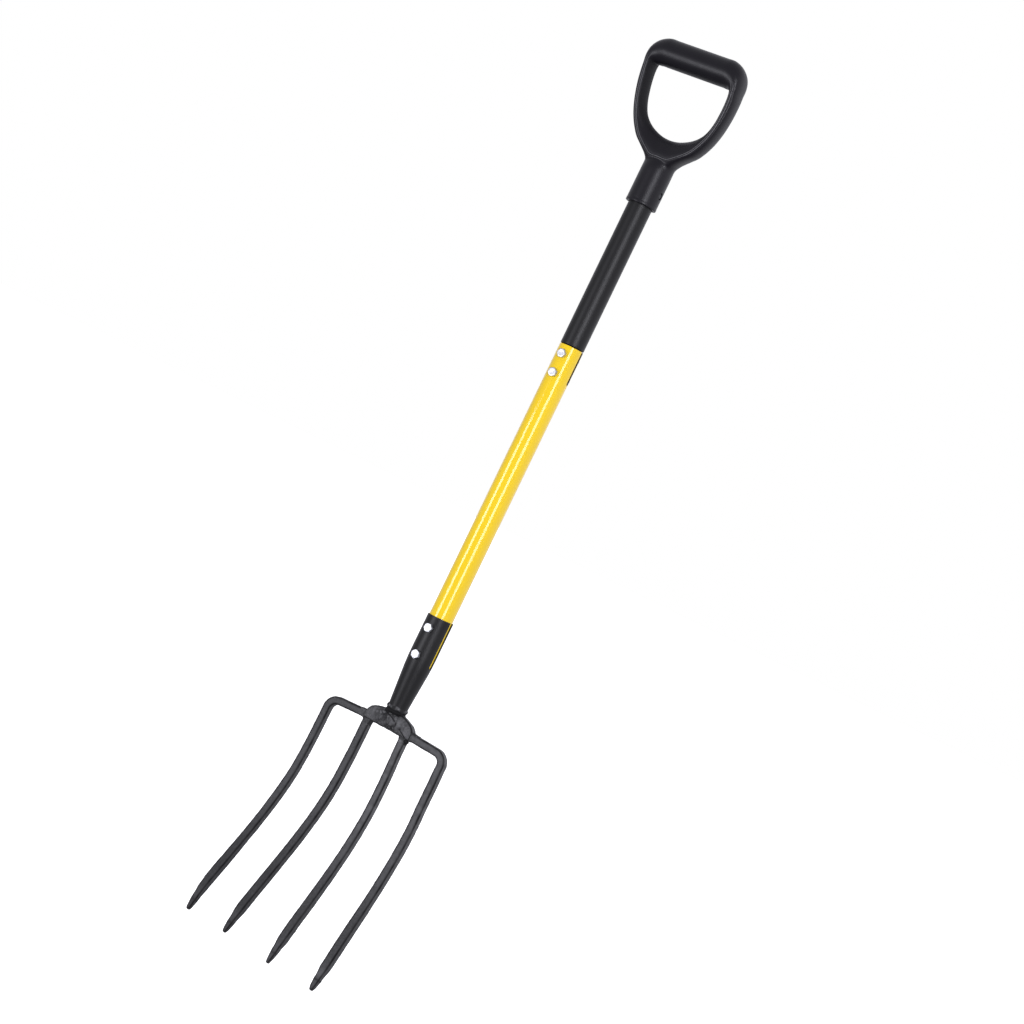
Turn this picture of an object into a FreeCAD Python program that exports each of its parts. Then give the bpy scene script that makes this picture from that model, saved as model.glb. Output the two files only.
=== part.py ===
import FreeCAD, Part
import math
import os

# Digging fork: a four-tined welded head, a rolled socket, a two-piece steel
# tube shaft and a moulded D-handle.  Millimetres, +Z along the shaft towards
# the handle, -Y the front (bolt heads; the tines curve towards it), +X right.
# The origin is on the shaft axis, halfway along the exposed lower tube.

V = FreeCAD.Vector
doc = FreeCAD.newDocument("digging_fork")

# ---------------------------------------------------------------- sheet
sheet = doc.addObject("Spreadsheet::Sheet", "Dims")
sheet.Label = "Dims"

CELLS = [
    # shaft
    ("tube_radius", 15.0), ("tube_wall", 1.5),
    ("lower_top", 176.9), ("lower_bottom", -238.0),
    ("upper_bottom", 116.0), ("upper_shoulder", 177.2), ("upper_top", 412.0),
    ("spigot_radius", 13.25),
    ("slit_width", 5.0), ("slit_bottom", 133.5), ("slit_angle", 13.0),
    # socket
    ("mouth_top", -177.4), ("socket_radius", 16.4), ("socket_wall", 1.2),
    ("socket_bend", -231.0), ("socket_knee", -247.0), ("knee_radius", 15.6),
    ("neck_start", -293.0), ("neck_radius", 12.2), ("socket_end", -299.9),
    ("seam_width", 5.8), ("seam_angle", 0.3), ("seam_bottom", -237.0),
    # bolts
    ("bolt_radius", 3.0), ("bolt_hole_radius", 3.2), ("hex_across", 10.0),
    ("head_height", 4.0), ("nut_height", 5.0), ("nut_bore_radius", 3.05),
    ("washer_radius", 6.0), ("washer_thickness", 1.5),
    ("lock_radius", 5.4), ("lock_thickness", 1.6), ("lock_gap", 1.2),
    ("thread_proud", 2.4),
    ("socket_bolt_high", -192.8), ("socket_bolt_low", -227.1),
    ("joint_bolt_high", 165.5), ("joint_bolt_low", 140.9),
    # handle collar and its screws
    ("rim_height", 363.2), ("collar_radius", 19.25), ("collar_bore", 15.15),
    ("collar_top", 421.0), ("bore_top", 413.0),
    ("screw_height", 381.7), ("screw_recess_radius", 4.2),
    ("screw_recess_depth", 2.6), ("screw_hole_radius", 2.1),
    ("screw_radius", 1.9), ("screw_head_radius", 3.7),
    ("screw_head_height", 1.9), ("screw_length", 8.5),
    # D frame
    ("pivot_height", 418.0), ("handle_pitch", 11.2), ("handle_shift", 0.8),
    ("frame_depth", 25.6), ("grip_radius", 16.8), ("grip_height", 124.1),
    # head
    ("crown_depth", 14.0), ("crown_top", -300.0), ("crown_bottom", -322.8),
    ("crown_left", -34.8), ("crown_right", 34.8),
    ("tang_radius", 10.8), ("tang_top", -286.0),
    ("bar_side", 9.7), ("corner_radius", 13.0),
    ("bar_root_left", -318.3), ("bar_root_right", -317.1),
    ("bar_end_left", -321.2), ("bar_end_right", -318.7),
    ("bead_side", 11.7), ("bead_length", 3.0),
    ("tip_left", -612.6), ("tip_right", -615.9), ("point_length", 34.0),
]
STATIONS = [-340.0, -380.0, -420.0, -460.0, -500.0, -540.0, -580.0, -614.0]
WORDS = ["one", "two", "three", "four", "five", "six", "seven", "eight"]
TINE_X = {
    "outer_left": [-86.15, -86.3, -85.95, -87.85, -90.8, -93.9, -96.65, -96.3],
    "inner_left": [-28.9, -29.0, -28.5, -30.2, -32.85, -35.65, -38.0, -38.8],
    "inner_right": [25.7, 27.4, 29.75, 30.66, 30.8, 30.65, 30.6, 31.1],
    "outer_right": [85.5, 86.4, 89.4, 91.15, 92.7, 94.2, 96.2, 96.9],
}
TINE_Y = [(-300.0, 0.0), (-340.0, 0.0), (-360.0, -0.2), (-380.0, -1.2),
          (-400.0, -3.6), (-420.0, -7.0), (-440.0, -11.2), (-460.0, -16.4),
          (-480.0, -22.5), (-500.0, -29.3), (-520.0, -36.9), (-540.0, -44.8),
          (-560.0, -53.1), (-580.0, -60.9), (-600.0, -68.2), (-616.0, -73.8)]
for name in TINE_X:
    for word, x in zip(WORDS, TINE_X[name]):
        CELLS.append((name + "_" + word, x))
for i, (z, y) in enumerate(TINE_Y):
    CELLS.append(("curve_" + "abcdefghijklmnop"[i] + "_depth", y))

C = {}
for row, (alias, value) in enumerate(CELLS, start=1):
    sheet.set("A%d" % row, alias.replace("_", " "))
    sheet.set("B%d" % row, str(value))
    sheet.setAlias("B%d" % row, alias)
    C[alias] = value
doc.recompute()


def bind(obj, prop, expression):
    obj.setExpression(prop, expression)


def dim(alias):
    return float(sheet.get(alias))


# ---------------------------------------------------------------- helpers
def plane(body, role):
    for feature in body.Origin.OriginFeatures:
        if feature.Role == role:
            return feature
    raise RuntimeError(role)


def polygon_sketch(body, name, role, verts):
    """Closed polygon, each corner held by two bound dimensions.
    verts: list of (x value, x expression, y value, y expression)."""
    sk = body.newObject("Sketcher::SketchObject", name)
    sk.AttachmentSupport = [(plane(body, role), "")]
    sk.MapMode = "FlatFace"
    count = len(verts)
    for i in range(count):
        a, b = verts[i], verts[(i + 1) % count]
        sk.addGeometry(Part.LineSegment(V(a[0], a[2], 0), V(b[0], b[2], 0)), False)
    import Sketcher
    for i in range(count):
        sk.addConstraint(Sketcher.Constraint("Coincident", i, 2, (i + 1) % count, 1))
    for i in range(count):
        x, xe, y, ye = verts[i]
        k = sk.addConstraint(Sketcher.Constraint("DistanceX", -1, 1, i, 1, x))
        sk.setExpression("Constraints[%d]" % k, xe)
        k = sk.addConstraint(Sketcher.Constraint("DistanceY", -1, 1, i, 1, y))
        sk.setExpression("Constraints[%d]" % k, ye)
    return sk


def revolved(label, verts, base):
    """Body of revolution about Z, its profile measured up from base."""
    body = doc.addObject("PartDesign::Body", label)
    body.Label = label
    sk = polygon_sketch(body, label + "_profile", "XZ_Plane", verts)
    rev = body.newObject("PartDesign::Revolution", label + "_turned")
    rev.Profile = sk
    rev.ReferenceAxis = (sk, ["V_Axis"])
    rev.Angle = 360.0
    sk.Visibility = False
    body.Tip = rev
    bind(body, "Placement.Base.z", base)
    return body


def cylinder(name, radius, height, base=(0, 0, 0), axis=(0, 0, 1), z=None, x=None, y=None):
    c = doc.addObject("Part::Cylinder", name)
    c.Label = name
    c.Placement = FreeCAD.Placement(V(*base), FreeCAD.Rotation(V(0, 0, 1), V(*axis)))
    bind(c, "Radius", radius)
    bind(c, "Height", height)
    if x:
        bind(c, "Placement.Base.x", x)
    if y:
        bind(c, "Placement.Base.y", y)
    if z:
        bind(c, "Placement.Base.z", z)
    return c


def cut(name, base, tools):
    if len(tools) == 1:
        tool = tools[0]
    else:
        tool = doc.addObject("Part::MultiFuse", name + "_tools")
        tool.Label = name + "_tools"
        tool.Shapes = tools
    c = doc.addObject("Part::Cut", name)
    c.Label = name
    c.Base = base
    c.Tool = tool
    return c


def fuse(name, shapes):
    f = doc.addObject("Part::MultiFuse", name)
    f.Label = name
    f.Shapes = shapes
    return f


def group(name, shapes):
    g = doc.addObject("Part::Compound", name)
    g.Label = name
    g.Links = shapes
    return g


# ---------------------------------------------------------------- shaft tubes
r0, w = C["tube_radius"], C["tube_wall"]
L = C["lower_top"] - C["lower_bottom"]
Z = "(Dims.lower_top - Dims.lower_bottom)"
lower_blank = revolved("lower_tube_blank", [
    (r0 - w, "Dims.tube_radius - Dims.tube_wall", 0.0, "0"),
    (r0, "Dims.tube_radius", 0.0, "0"),
    (r0, "Dims.tube_radius", L, Z),
    (r0 - w, "Dims.tube_radius - Dims.tube_wall", L, Z)], "Dims.lower_bottom")

slit = doc.addObject("Part::Box", "lower_tube_slit")
slit.Label = "lower_tube_slit"
slit.Placement = FreeCAD.Placement(V(0, 0, 0), FreeCAD.Rotation(V(0, 0, 1), C["slit_angle"]))
bind(slit, "Length", "Dims.tube_radius + 5")
bind(slit, "Width", "Dims.slit_width")
bind(slit, "Height", "Dims.lower_top - Dims.slit_bottom + 5")
bind(slit, "Placement.Rotation.Angle", "Dims.slit_angle")
bind(slit, "Placement.Base.x", "sin(Dims.slit_angle) * Dims.slit_width / 2")
bind(slit, "Placement.Base.y", "-cos(Dims.slit_angle) * Dims.slit_width / 2")
bind(slit, "Placement.Base.z", "Dims.slit_bottom")


def cross_hole(name, z):
    return cylinder(name, "Dims.bolt_hole_radius", "80", base=(0, 40, 0), axis=(0, -1, 0), z=z)


lower_tube = cut("lower_tube", lower_blank, [
    slit,
    cross_hole("lower_hole_one", "Dims.joint_bolt_high"),
    cross_hole("lower_hole_two", "Dims.joint_bolt_low"),
    cross_hole("lower_hole_three", "Dims.socket_bolt_high"),
    cross_hole("lower_hole_four", "Dims.socket_bolt_low")])

s = C["spigot_radius"]
sh = C["upper_shoulder"] - C["upper_bottom"]
SH = "(Dims.upper_shoulder - Dims.upper_bottom)"
UT = C["upper_top"] - C["upper_bottom"]
UTE = "(Dims.upper_top - Dims.upper_bottom)"
upper_blank = revolved("upper_tube_blank", [
    (s - w, "Dims.spigot_radius - Dims.tube_wall", 0.0, "0"),
    (s, "Dims.spigot_radius", 0.0, "0"),
    (s, "Dims.spigot_radius", sh - 0.2, SH + " - 0.2"),
    (r0 - 0.5, "Dims.tube_radius - 0.5", sh, SH),
    (r0, "Dims.tube_radius", sh + 0.5, SH + " + 0.5"),
    (r0, "Dims.tube_radius", UT, UTE),
    (r0 - w, "Dims.tube_radius - Dims.tube_wall", UT, UTE),
    (r0 - w, "Dims.tube_radius - Dims.tube_wall", sh + 6.0, SH + " + 6"),
    (s - w, "Dims.spigot_radius - Dims.tube_wall", sh - 2.0, SH + " - 2")], "Dims.upper_bottom")
upper_tube = cut("upper_tube", upper_blank, [
    cross_hole("upper_hole_one", "Dims.joint_bolt_high"),
    cross_hole("upper_hole_two", "Dims.joint_bolt_low"),
    cylinder("upper_screw_hole", "Dims.screw_hole_radius", "60", base=(-30, 0, 0),
             axis=(1, 0, 0), z="Dims.screw_height")])

# ---------------------------------------------------------------- socket
sr, sw = C["socket_radius"], C["socket_wall"]
kr, nr = C["knee_radius"], C["neck_radius"]
e = C["socket_end"]


def up(alias, extra=0.0):
    return C[alias] - e + extra, "(Dims.%s - Dims.socket_end + %s)" % (alias, extra)


def sv(rv, re, alias, extra=0.0):
    z, ze = up(alias, extra)
    return (rv, re, z, ze)


socket_blank = revolved("socket_blank", [
    (nr - sw, "Dims.neck_radius - Dims.socket_wall", 0.0, "0"),
    (nr, "Dims.neck_radius", 0.0, "0"),
    sv(nr, "Dims.neck_radius", "neck_start"),
    sv(kr, "Dims.knee_radius", "socket_knee"),
    sv(sr, "Dims.socket_radius", "socket_bend"),
    sv(sr, "Dims.socket_radius", "mouth_top", -0.4),
    sv(sr - 0.4, "Dims.socket_radius - 0.4", "mouth_top"),
    sv(sr - sw, "Dims.socket_radius - Dims.socket_wall", "mouth_top"),
    sv(sr - sw, "Dims.socket_radius - Dims.socket_wall", "lower_bottom", -0.6),
    sv(kr - sw, "Dims.knee_radius - Dims.socket_wall", "socket_knee"),
    sv(nr - sw, "Dims.neck_radius - Dims.socket_wall", "neck_start")], "Dims.socket_end")

seam = doc.addObject("Part::Box", "socket_seam")
seam.Label = "socket_seam"
seam.Placement = FreeCAD.Placement(V(0, 0, 0), FreeCAD.Rotation(V(0, 0, 1), C["seam_angle"]))
bind(seam, "Length", "Dims.socket_radius + 5")
bind(seam, "Width", "Dims.seam_width")
bind(seam, "Height", "Dims.mouth_top - Dims.seam_bottom + 5")
bind(seam, "Placement.Rotation.Angle", "Dims.seam_angle")
bind(seam, "Placement.Base.x", "sin(Dims.seam_angle) * Dims.seam_width / 2")
bind(seam, "Placement.Base.y", "-cos(Dims.seam_angle) * Dims.seam_width / 2")
bind(seam, "Placement.Base.z", "Dims.seam_bottom")
socket = cut("socket", socket_blank, [
    seam,
    cross_hole("socket_hole_one", "Dims.socket_bolt_high"),
    cross_hole("socket_hole_two", "Dims.socket_bolt_low")])


# ---------------------------------------------------------------- bolts
def hexagon(name, height, y, z):
    p = doc.addObject("Part::Prism", name)
    p.Label = name
    p.Polygon = 6
    # the prism's own Z lies along -Y
    p.Placement = FreeCAD.Placement(V(0, 0, 0), FreeCAD.Rotation(V(0, 0, 1), V(0, -1, 0)))
    bind(p, "Circumradius", "Dims.hex_across / sqrt(3)")
    bind(p, "Height", height)
    bind(p, "Placement.Base.y", y)
    bind(p, "Placement.Base.z", z)
    return p


def fastener_set(prefix, surface, heights):
    bolts, flats, locks, nuts = [], [], [], []
    for word, z in zip(["upper", "lower"], heights):
        tag = prefix + "_" + word
        head = hexagon(tag + "_head", "Dims.head_height", "-" + surface, z)
        shank = cylinder(tag + "_shank", "Dims.bolt_radius",
                         "2 * %s + Dims.washer_thickness + Dims.lock_thickness + Dims.nut_height"
                         " + Dims.thread_proud + 1" % surface,
                         axis=(0, -1, 0), z=z,
                         y="%s + Dims.washer_thickness + Dims.lock_thickness + Dims.nut_height"
                           " + Dims.thread_proud" % surface)
        bolts.append(fuse(tag + "_bolt", [head, shank]))

        def ring(name, radius, thickness, y):
            outer = cylinder(name + "_disc", radius, thickness, axis=(0, -1, 0), z=z, y=y)
            hole = cylinder(name + "_hole", "Dims.bolt_hole_radius", thickness + " + 2",
                            axis=(0, -1, 0), z=z, y=y + " + 1")
            return outer, hole

        o, h = ring(tag + "_flat", "Dims.washer_radius", "Dims.washer_thickness",
                    "%s + Dims.washer_thickness" % surface)
        flats.append(cut(tag + "_flat_washer", o, [h]))
        o, h = ring(tag + "_lock", "Dims.lock_radius", "Dims.lock_thickness",
                    "%s + Dims.washer_thickness + Dims.lock_thickness" % surface)
        gap = doc.addObject("Part::Box", tag + "_lock_gap")
        gap.Label = tag + "_lock_gap"
        bind(gap, "Length", "Dims.lock_gap")
        bind(gap, "Width", "Dims.lock_thickness + 2")
        bind(gap, "Height", "Dims.lock_radius + 2")
        bind(gap, "Placement.Base.x", "-Dims.lock_gap / 2")
        bind(gap, "Placement.Base.y", "%s + Dims.washer_thickness - 1" % surface)
        bind(gap, "Placement.Base.z", z)
        locks.append(cut(tag + "_lock_washer", o, [h, gap]))
        blank = hexagon(tag + "_nut_blank", "Dims.nut_height",
                        "%s + Dims.washer_thickness + Dims.lock_thickness + Dims.nut_height" % surface, z)
        bore = cylinder(tag + "_nut_bore", "Dims.nut_bore_radius", "Dims.nut_height + 2",
                        axis=(0, -1, 0), z=z,
                        y="%s + Dims.washer_thickness + Dims.lock_thickness + Dims.nut_height + 1" % surface)
        nuts.append(cut(tag + "_nut", blank, [bore]))
    return [group(prefix + "_bolts", bolts), group(prefix + "_flat_washers", flats),
            group(prefix + "_lock_washers", locks), group(prefix + "_nuts", nuts)]


socket_set = fastener_set("socket", "Dims.socket_radius",
                          ["Dims.socket_bolt_high", "Dims.socket_bolt_low"])
joint_set = fastener_set("joint", "Dims.tube_radius",
                         ["Dims.joint_bolt_high", "Dims.joint_bolt_low"])

# ---------------------------------------------------------------- neck weld
neck_weld = revolved("neck_weld", [
    (nr + 0.05, "Dims.neck_radius + 0.05", 0.0, "0"),
    (nr + 1.0, "Dims.neck_radius + 1.0", 0.0, "0"),
    (nr + 1.25, "Dims.neck_radius + 1.25", 1.6, "1.6"),
    (nr + 1.05, "Dims.neck_radius + 1.05", 3.6, "3.6"),
    (nr + 0.6, "Dims.neck_radius + 0.6", 5.6, "5.6"),
    (nr + 0.05, "Dims.neck_radius + 0.05", 6.8, "6.8")], "Dims.crown_top")


# ---------------------------------------------------------------- crown
def feature(name, shape):
    f = doc.addObject("Part::Feature", name)
    f.Label = name
    f.Shape = shape
    return f


def spline(points, ends=None):
    c = Part.BSplineCurve()
    if ends:
        chord = math.dist(points[0], points[-1])
        c.interpolate(Points=[V(*p) for p in points], InitialTangent=V(*ends[0]) * chord,
                      FinalTangent=V(*ends[1]) * chord)
    else:
        c.interpolate([V(*p) for p in points])
    return c.toShape()


ct, cb, cd = dim("crown_top"), dim("crown_bottom"), dim("crown_depth")
left_end, right_end = dim("crown_left"), dim("crown_right")
lz, rz = dim("bar_root_left"), dim("bar_root_right")
hb = dim("bar_side") / 2 + 0.5
crown_pts_left = [(left_end, 0, lz + hb), (-33.6, 0, ct - 9.4), (-31.4, 0, ct - 6.6), (-27.3, 0, ct - 4.0), (-23.3, 0, ct - 2.3), (-19.2, 0, ct - 1.3), (-13.2, 0, ct)]
crown_pts_right = [(14.4, 0, ct), (20.8, 0, ct - 2.0), (24.8, 0, ct - 3.4), (28.8, 0, ct - 5.5), (32.8, 0, ct - 8.9), (right_end, 0, rz + hb)]
edges = [
    Part.LineSegment(V(left_end, 0, cb), V(*crown_pts_left[0])).toShape(),
    spline(crown_pts_left, ((0.12, 0, 1), (1, 0, 0.15))),
    Part.LineSegment(V(*crown_pts_left[-1]), V(*crown_pts_right[0])).toShape(),
    spline(crown_pts_right, ((1, 0, -0.2), (0.4, 0, -1))),
    Part.LineSegment(V(*crown_pts_right[-1]), V(right_end, 0, cb)).toShape(),
    Part.LineSegment(V(right_end, 0, cb), V(left_end, 0, cb)).toShape()]
face = Part.Face(Part.Wire(Part.__sortEdges__(edges)))
plate = face.extrude(V(0, cd, 0))
plate.translate(V(0, -cd / 2, 0))
rounded = [ed for ed in plate.Edges
           if abs(ed.CenterOfMass.y) > cd / 2 - 0.1 and ed.CenterOfMass.z > cb + 0.5
           and abs(ed.CenterOfMass.x) > 2.0 and ed.Length > 12.0 and abs(ed.CenterOfMass.z - ct) > 0.3]
try:
    softened = plate.makeFillet(3.0, rounded)
    if softened.isValid() and softened.Volume > 0.8 * plate.Volume:
        plate = softened
except Exception:
    pass
tang = Part.makeCylinder(dim("tang_radius"), dim("tang_top") - ct + 2.0, V(0, 0, ct - 2.0))
head_crown = feature("head_crown", plate.fuse(tang).removeSplitter())

# ---------------------------------------------------------------- tines
half = dim("bar_side") / 2
curve = [(z, dim("curve_" + "abcdefghijklmnop"[i] + "_depth")) for i, (z, y) in enumerate(TINE_Y)]


def lerp(table, z):
    table = sorted(table)
    if z <= table[0][0]:
        return table[0][1]
    for (za, ya), (zb, yb) in zip(table, table[1:]):
        if z <= zb:
            return ya + (yb - ya) * (z - za) / (zb - za)
    return table[-1][1]


def smooth(table, z):
    """Cubic (Catmull-Rom) reading of a table of (height, value)."""
    table = sorted(table)
    n = len(table)
    k = 0
    while k < n - 2 and z > table[k + 1][0]:
        k += 1
    (z1, v1), (z2, v2) = table[k], table[k + 1]
    z0, v0 = table[k - 1] if k > 0 else (2 * z1 - z2, 2 * v1 - v2)
    z3, v3 = table[k + 2] if k + 2 < n else (2 * z2 - z1, 2 * v2 - v1)
    m1 = (v2 - v0) / (z2 - z0)
    m2 = (v3 - v1) / (z3 - z1)
    h = z2 - z1
    t = (z - z1) / h
    return ((2 * t ** 3 - 3 * t ** 2 + 1) * v1 + (t ** 3 - 2 * t ** 2 + t) * h * m1
            + (-2 * t ** 3 + 3 * t ** 2) * v2 + (t ** 3 - t ** 2) * h * m2)


def octagon(centre, tangent, size, chamfer):
    """Section of the bar: a square with chamfered corners, across the path."""
    t = V(tangent.x, tangent.y, tangent.z)
    t.normalize()
    front = V(0, -1, 0) - t * V(0, -1, 0).dot(t)
    front.normalize()
    side = t.cross(front)
    c = size - chamfer
    pts = []
    for u, v in ((size, -c), (size, c), (c, size), (-c, size), (-size, c), (-size, -c), (-c, -size), (c, -size)):
        pts.append(centre + side * u + front * v)
    return Part.makePolygon(pts + [pts[0]])


# height above the tip and share of the full thickness, down the forged point
POINT = [(dim("point_length"), 1.0), (29.0, 0.985), (25.5, 0.92), (21.5, 0.80), (17.5, 0.755),
         (12.5, 0.71), (8.0, 0.63), (4.0, 0.49), (1.2, 0.36)]


def tine(name, tip, inner, root_x=None, root_z=None, end_z=None):
    table = [(z, dim(name + "_" + word)) for z, word in zip(STATIONS, WORDS)]
    top_x = table[0][1]
    path = []
    if inner:
        top = dim("crown_bottom") - 0.05
        path.append((V(top_x, 0, top), V(0, 0, -1)))
        path.append((V(top_x, 0, -332.0), V(0, 0, -1)))
    else:
        sgn = -1.0 if top_x < 0 else 1.0
        radius = dim("corner_radius")
        d = V(top_x - root_x, 0, end_z - root_z)
        d.normalize()
        down = V(0, 0, -1)
        turn = math.acos(d.dot(down))
        reach = radius * math.tan(turn / 2)
        corner = V(top_x, 0, end_z)
        start = corner - d * reach
        centre = corner + down * reach + V(-sgn * radius, 0, 0)
        path.append((V(root_x, 0, root_z), V(sgn, 0, 0)))
        path.append((V(root_x, 0, root_z) + d * 8.0, d))
        steps = 7
        for i in range(steps + 1):
            ang = turn * i / steps
            # rotate d about the y axis towards straight down
            tan = V(d.x * math.cos(ang), 0, d.z * math.cos(ang)) + V(0, 0, -1) * math.sin(ang) - V(0, 0, 0)
            tan = V(d.x, 0, d.z) * (math.sin(turn - ang) / math.sin(turn)) + down * (math.sin(ang) / math.sin(turn))
            tan.normalize()
            outward = V(-tan.z * sgn, 0, tan.x * sgn)
            path.append((centre + outward * radius, tan))
    z = -344.0
    zs = []
    while z > tip + dim("point_length") + 4:
        zs.append(z)
        z -= 12.0
    zs += [tip + d for d, k in POINT]
    for z in zs:
        p = V(smooth(table, z), smooth(curve, z), z)
        q = V(smooth(table, z - 1), smooth(curve, z - 1), z - 1)
        path.append((p, q - p))
    wires = []
    for p, t in path:
        size = half * smooth(POINT + [(p.z - tip + 900.0, 1.0)], p.z - tip) if p.z < tip + dim("point_length") else half
        wires.append(octagon(p, t, size, min(0.8, size * 0.35)))
    p, t = path[-1]
    t.normalize()
    wires.append(octagon(p + t * 1.1, t, 1.3, 0.5))
    return Part.makeLoft(wires, True, True)


tl, tr = dim("tip_left"), dim("tip_right")
outer_tine_left = feature("outer_tine_left", tine("outer_left", tl, False, root_x=left_end - 0.05, root_z=lz, end_z=dim("bar_end_left")))
inner_tine_left = feature("inner_tine_left", tine("inner_left", tl, True))
inner_tine_right = feature("inner_tine_right", tine("inner_right", tr, True))
outer_tine_right = feature("outer_tine_right", tine("outer_right", tr, False, root_x=right_end + 0.05, root_z=rz, end_z=dim("bar_end_right")))


# ---------------------------------------------------------------- tine welds
def bead(centre, along):
    """Fillet weld round a square bar: a tapered collar, 'along' pointing away
    from the crown."""
    s2, h2, n2 = dim("bead_side") / 2, dim("bar_side") / 2 + 0.35, dim("bead_length")
    big = [V(-s2, -s2, 0), V(s2, -s2, 0), V(s2, s2, 0), V(-s2, s2, 0)]
    k = (h2 + 0.35) / s2
    small = [V(p.x * k, p.y * k, n2) for p in big]
    w1 = Part.makePolygon(big + [big[0]])
    w2 = Part.makePolygon(small + [small[0]])
    body = Part.makeLoft([w1, w2], True, True)
    hole = Part.makeBox(2 * h2, 2 * h2, n2 + 4, V(-h2, -h2, -2))
    ring = body.cut(hole)
    ring.Placement = FreeCAD.Placement(V(*centre), FreeCAD.Rotation(V(0, 0, 1), V(*along)))
    return ring


xl = dim("inner_left_one")
xr = dim("inner_right_one")
beads = Part.makeCompound([
    bead((left_end - 0.02, 0, lz), (-1, 0, 0)),
    bead((right_end + 0.02, 0, rz), (1, 0, 0)),
    bead((xl, 0, dim("crown_bottom") - 0.05), (0, 0, -1)),
    bead((xr, 0, dim("crown_bottom") - 0.05), (0, 0, -1))])
tine_welds = feature("tine_welds", beads)

# ---------------------------------------------------------------- D-handle
# Each row is one section of the right half of the ring, in the plane of the
# D: outer point, inner point, how far from outer to inner the widest depth
# is, half the depth there and how square its outer back corner is.  It runs from the bottom of the D up the arm,
# round the elbow and along the grip to the middle.
fd = dim("frame_depth") / 2
gr, gh = dim("grip_radius"), dim("grip_height")
RING = [
    ((0.0, -9.0), (0.0, 29.4), 0.43, fd, 2.0),
    ((13.0, -7.0), (7.0, 29.9), 0.43, fd, 2.0),
    ((22.5, 4.5), (14.0, 31.4), 0.36, fd, 2.0),
    ((32.0, 13.0), (21.6, 34.2), 0.36, fd, 2.0),
    ((40.4, 20.0), (28.7, 37.8), 0.38, fd, 2.0),
    ((47.6, 29.4), (35.6, 42.8), 0.40, fd, 2.0),
    ((53.6, 40.2), (42.0, 49.6), 0.43, fd, 2.0),
    ((58.0, 51.0), (46.6, 57.6), 0.46, fd, 2.0),
    ((62.0, 64.5), (50.0, 67.5), 0.50, fd, 2.0),
    ((65.2, 80.0), (52.2, 80.5), 0.53, fd, 2.1),
    ((66.8, 94.0), (53.4, 92.5), 0.54, fd + 0.3, 2.3),
    ((67.0, 105.0), (53.6, 100.3), 0.54, fd + 1.2, 2.6),
    ((66.0, 115.5), (52.2, 104.6), 0.52, fd + 2.2, 3.0),
    ((62.8, 126.0), (49.2, 106.2), 0.51, fd + 3.2, 3.2),
    ((55.6, 135.0), (45.5, 106.6), 0.50, gr - 0.5, 2.8),
    ((45.0, gh + gr - 0.2), (41.5, gh - gr + 0.1), 0.50, gr, 2.1),
    ((32.0, gh + gr), (32.0, gh - gr), 0.50, gr, 2.0),
    ((0.0, gh + gr), (0.0, gh - gr), 0.50, gr, 2.0),
]
SIDES = 24


def rounded(value, power):
    return math.copysign(abs(value) ** (2.0 / power), value)


def ring_wire(row, side):
    (ox, oz), (ix, iz), frac, depth, power = row
    o, i = V(side * ox, 0, oz), V(side * ix, 0, iz)
    mid = o + (i - o) * frac
    pts = []
    for n in range(SIDES):
        ang = 2 * math.pi * n / SIDES
        c, q = math.cos(ang), math.sin(ang)
        if q > 1e-6 and c > 1e-6:
            c, q = rounded(c, power), rounded(q, power)
        arm = (o - mid) if c > 0 else (mid - i)
        pts.append(mid + arm * c + V(0, depth * q, 0))
    return Part.makePolygon(pts + [pts[0]])


halves = [Part.makeLoft([ring_wire(row, side) for row in RING], True, True) for side in (1.0, -1.0)]
pitch = dim("handle_pitch")
place = FreeCAD.Placement(V(dim("handle_shift"), 0, dim("pivot_height")), FreeCAD.Rotation(V(1, 0, 0), pitch))
for h in halves:
    h.Placement = place

cr_, rh, tz = dim("collar_radius"), dim("rim_height"), dim("collar_top")
sleeve = Part.makeCylinder(cr_, tz - rh, V(0, 0, rh))
sleeve = sleeve.makeFillet(1.4, [ed for ed in sleeve.Edges if abs(ed.CenterOfMass.z - rh) < 0.1])
shoulder = Part.makeCone(cr_ - 0.4, 9.0, 18.0, V(0, 0, tz))

handle = halves[0].fuse(halves[1]).fuse(sleeve.fuse(shoulder))
bore = Part.makeCylinder(dim("collar_bore"), dim("bore_top") - rh + 5, V(0, 0, rh - 5))
handle = handle.cut(bore)
sz = dim("screw_height")
for sgn in (1.0, -1.0):
    recess = Part.makeCylinder(dim("screw_recess_radius"), 10, V(sgn * (cr_ - dim("screw_recess_depth")), 0, sz), V(sgn, 0, 0))
    hole = Part.makeCylinder(dim("screw_hole_radius"), cr_ + 2, V(0, 0, sz), V(sgn, 0, 0))
    handle = handle.cut(recess).cut(hole)
if len(handle.Solids) == 1:
    handle = handle.Solids[0]
d_handle = feature("d_handle", handle)

# ---------------------------------------------------------------- handle screws
screws = []
for word, sgn in (("right", "1"), ("left", "-1")):
    k = float(sgn)
    head = cylinder("screw_head_" + word, "Dims.screw_head_radius", "Dims.screw_head_height",
                    axis=(k, 0, 0), z="Dims.screw_height",
                    x="(Dims.collar_radius - Dims.screw_recess_depth) * %s" % sgn)
    shank = cylinder("screw_shank_" + word, "Dims.screw_radius", "Dims.screw_length + 0.5",
                     axis=(k, 0, 0), z="Dims.screw_height",
                     x="(Dims.collar_radius - Dims.screw_recess_depth - Dims.screw_length) * %s" % sgn)
    screws.append(fuse("handle_screw_" + word, [head, shank]))
handle_screws = group("handle_screws", screws)

doc.recompute()

# ---------------------------------------------------------------- output
NODES = [outer_tine_left, inner_tine_left, inner_tine_right, outer_tine_right,
         head_crown, neck_weld, tine_welds, socket, lower_tube, upper_tube,
         d_handle, handle_screws] + socket_set + joint_set

for obj in doc.Objects:
    if "Invalid" in obj.State or "Error" in obj.State:
        raise RuntimeError("%s failed: %s" % (obj.Label, obj.State))

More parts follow.
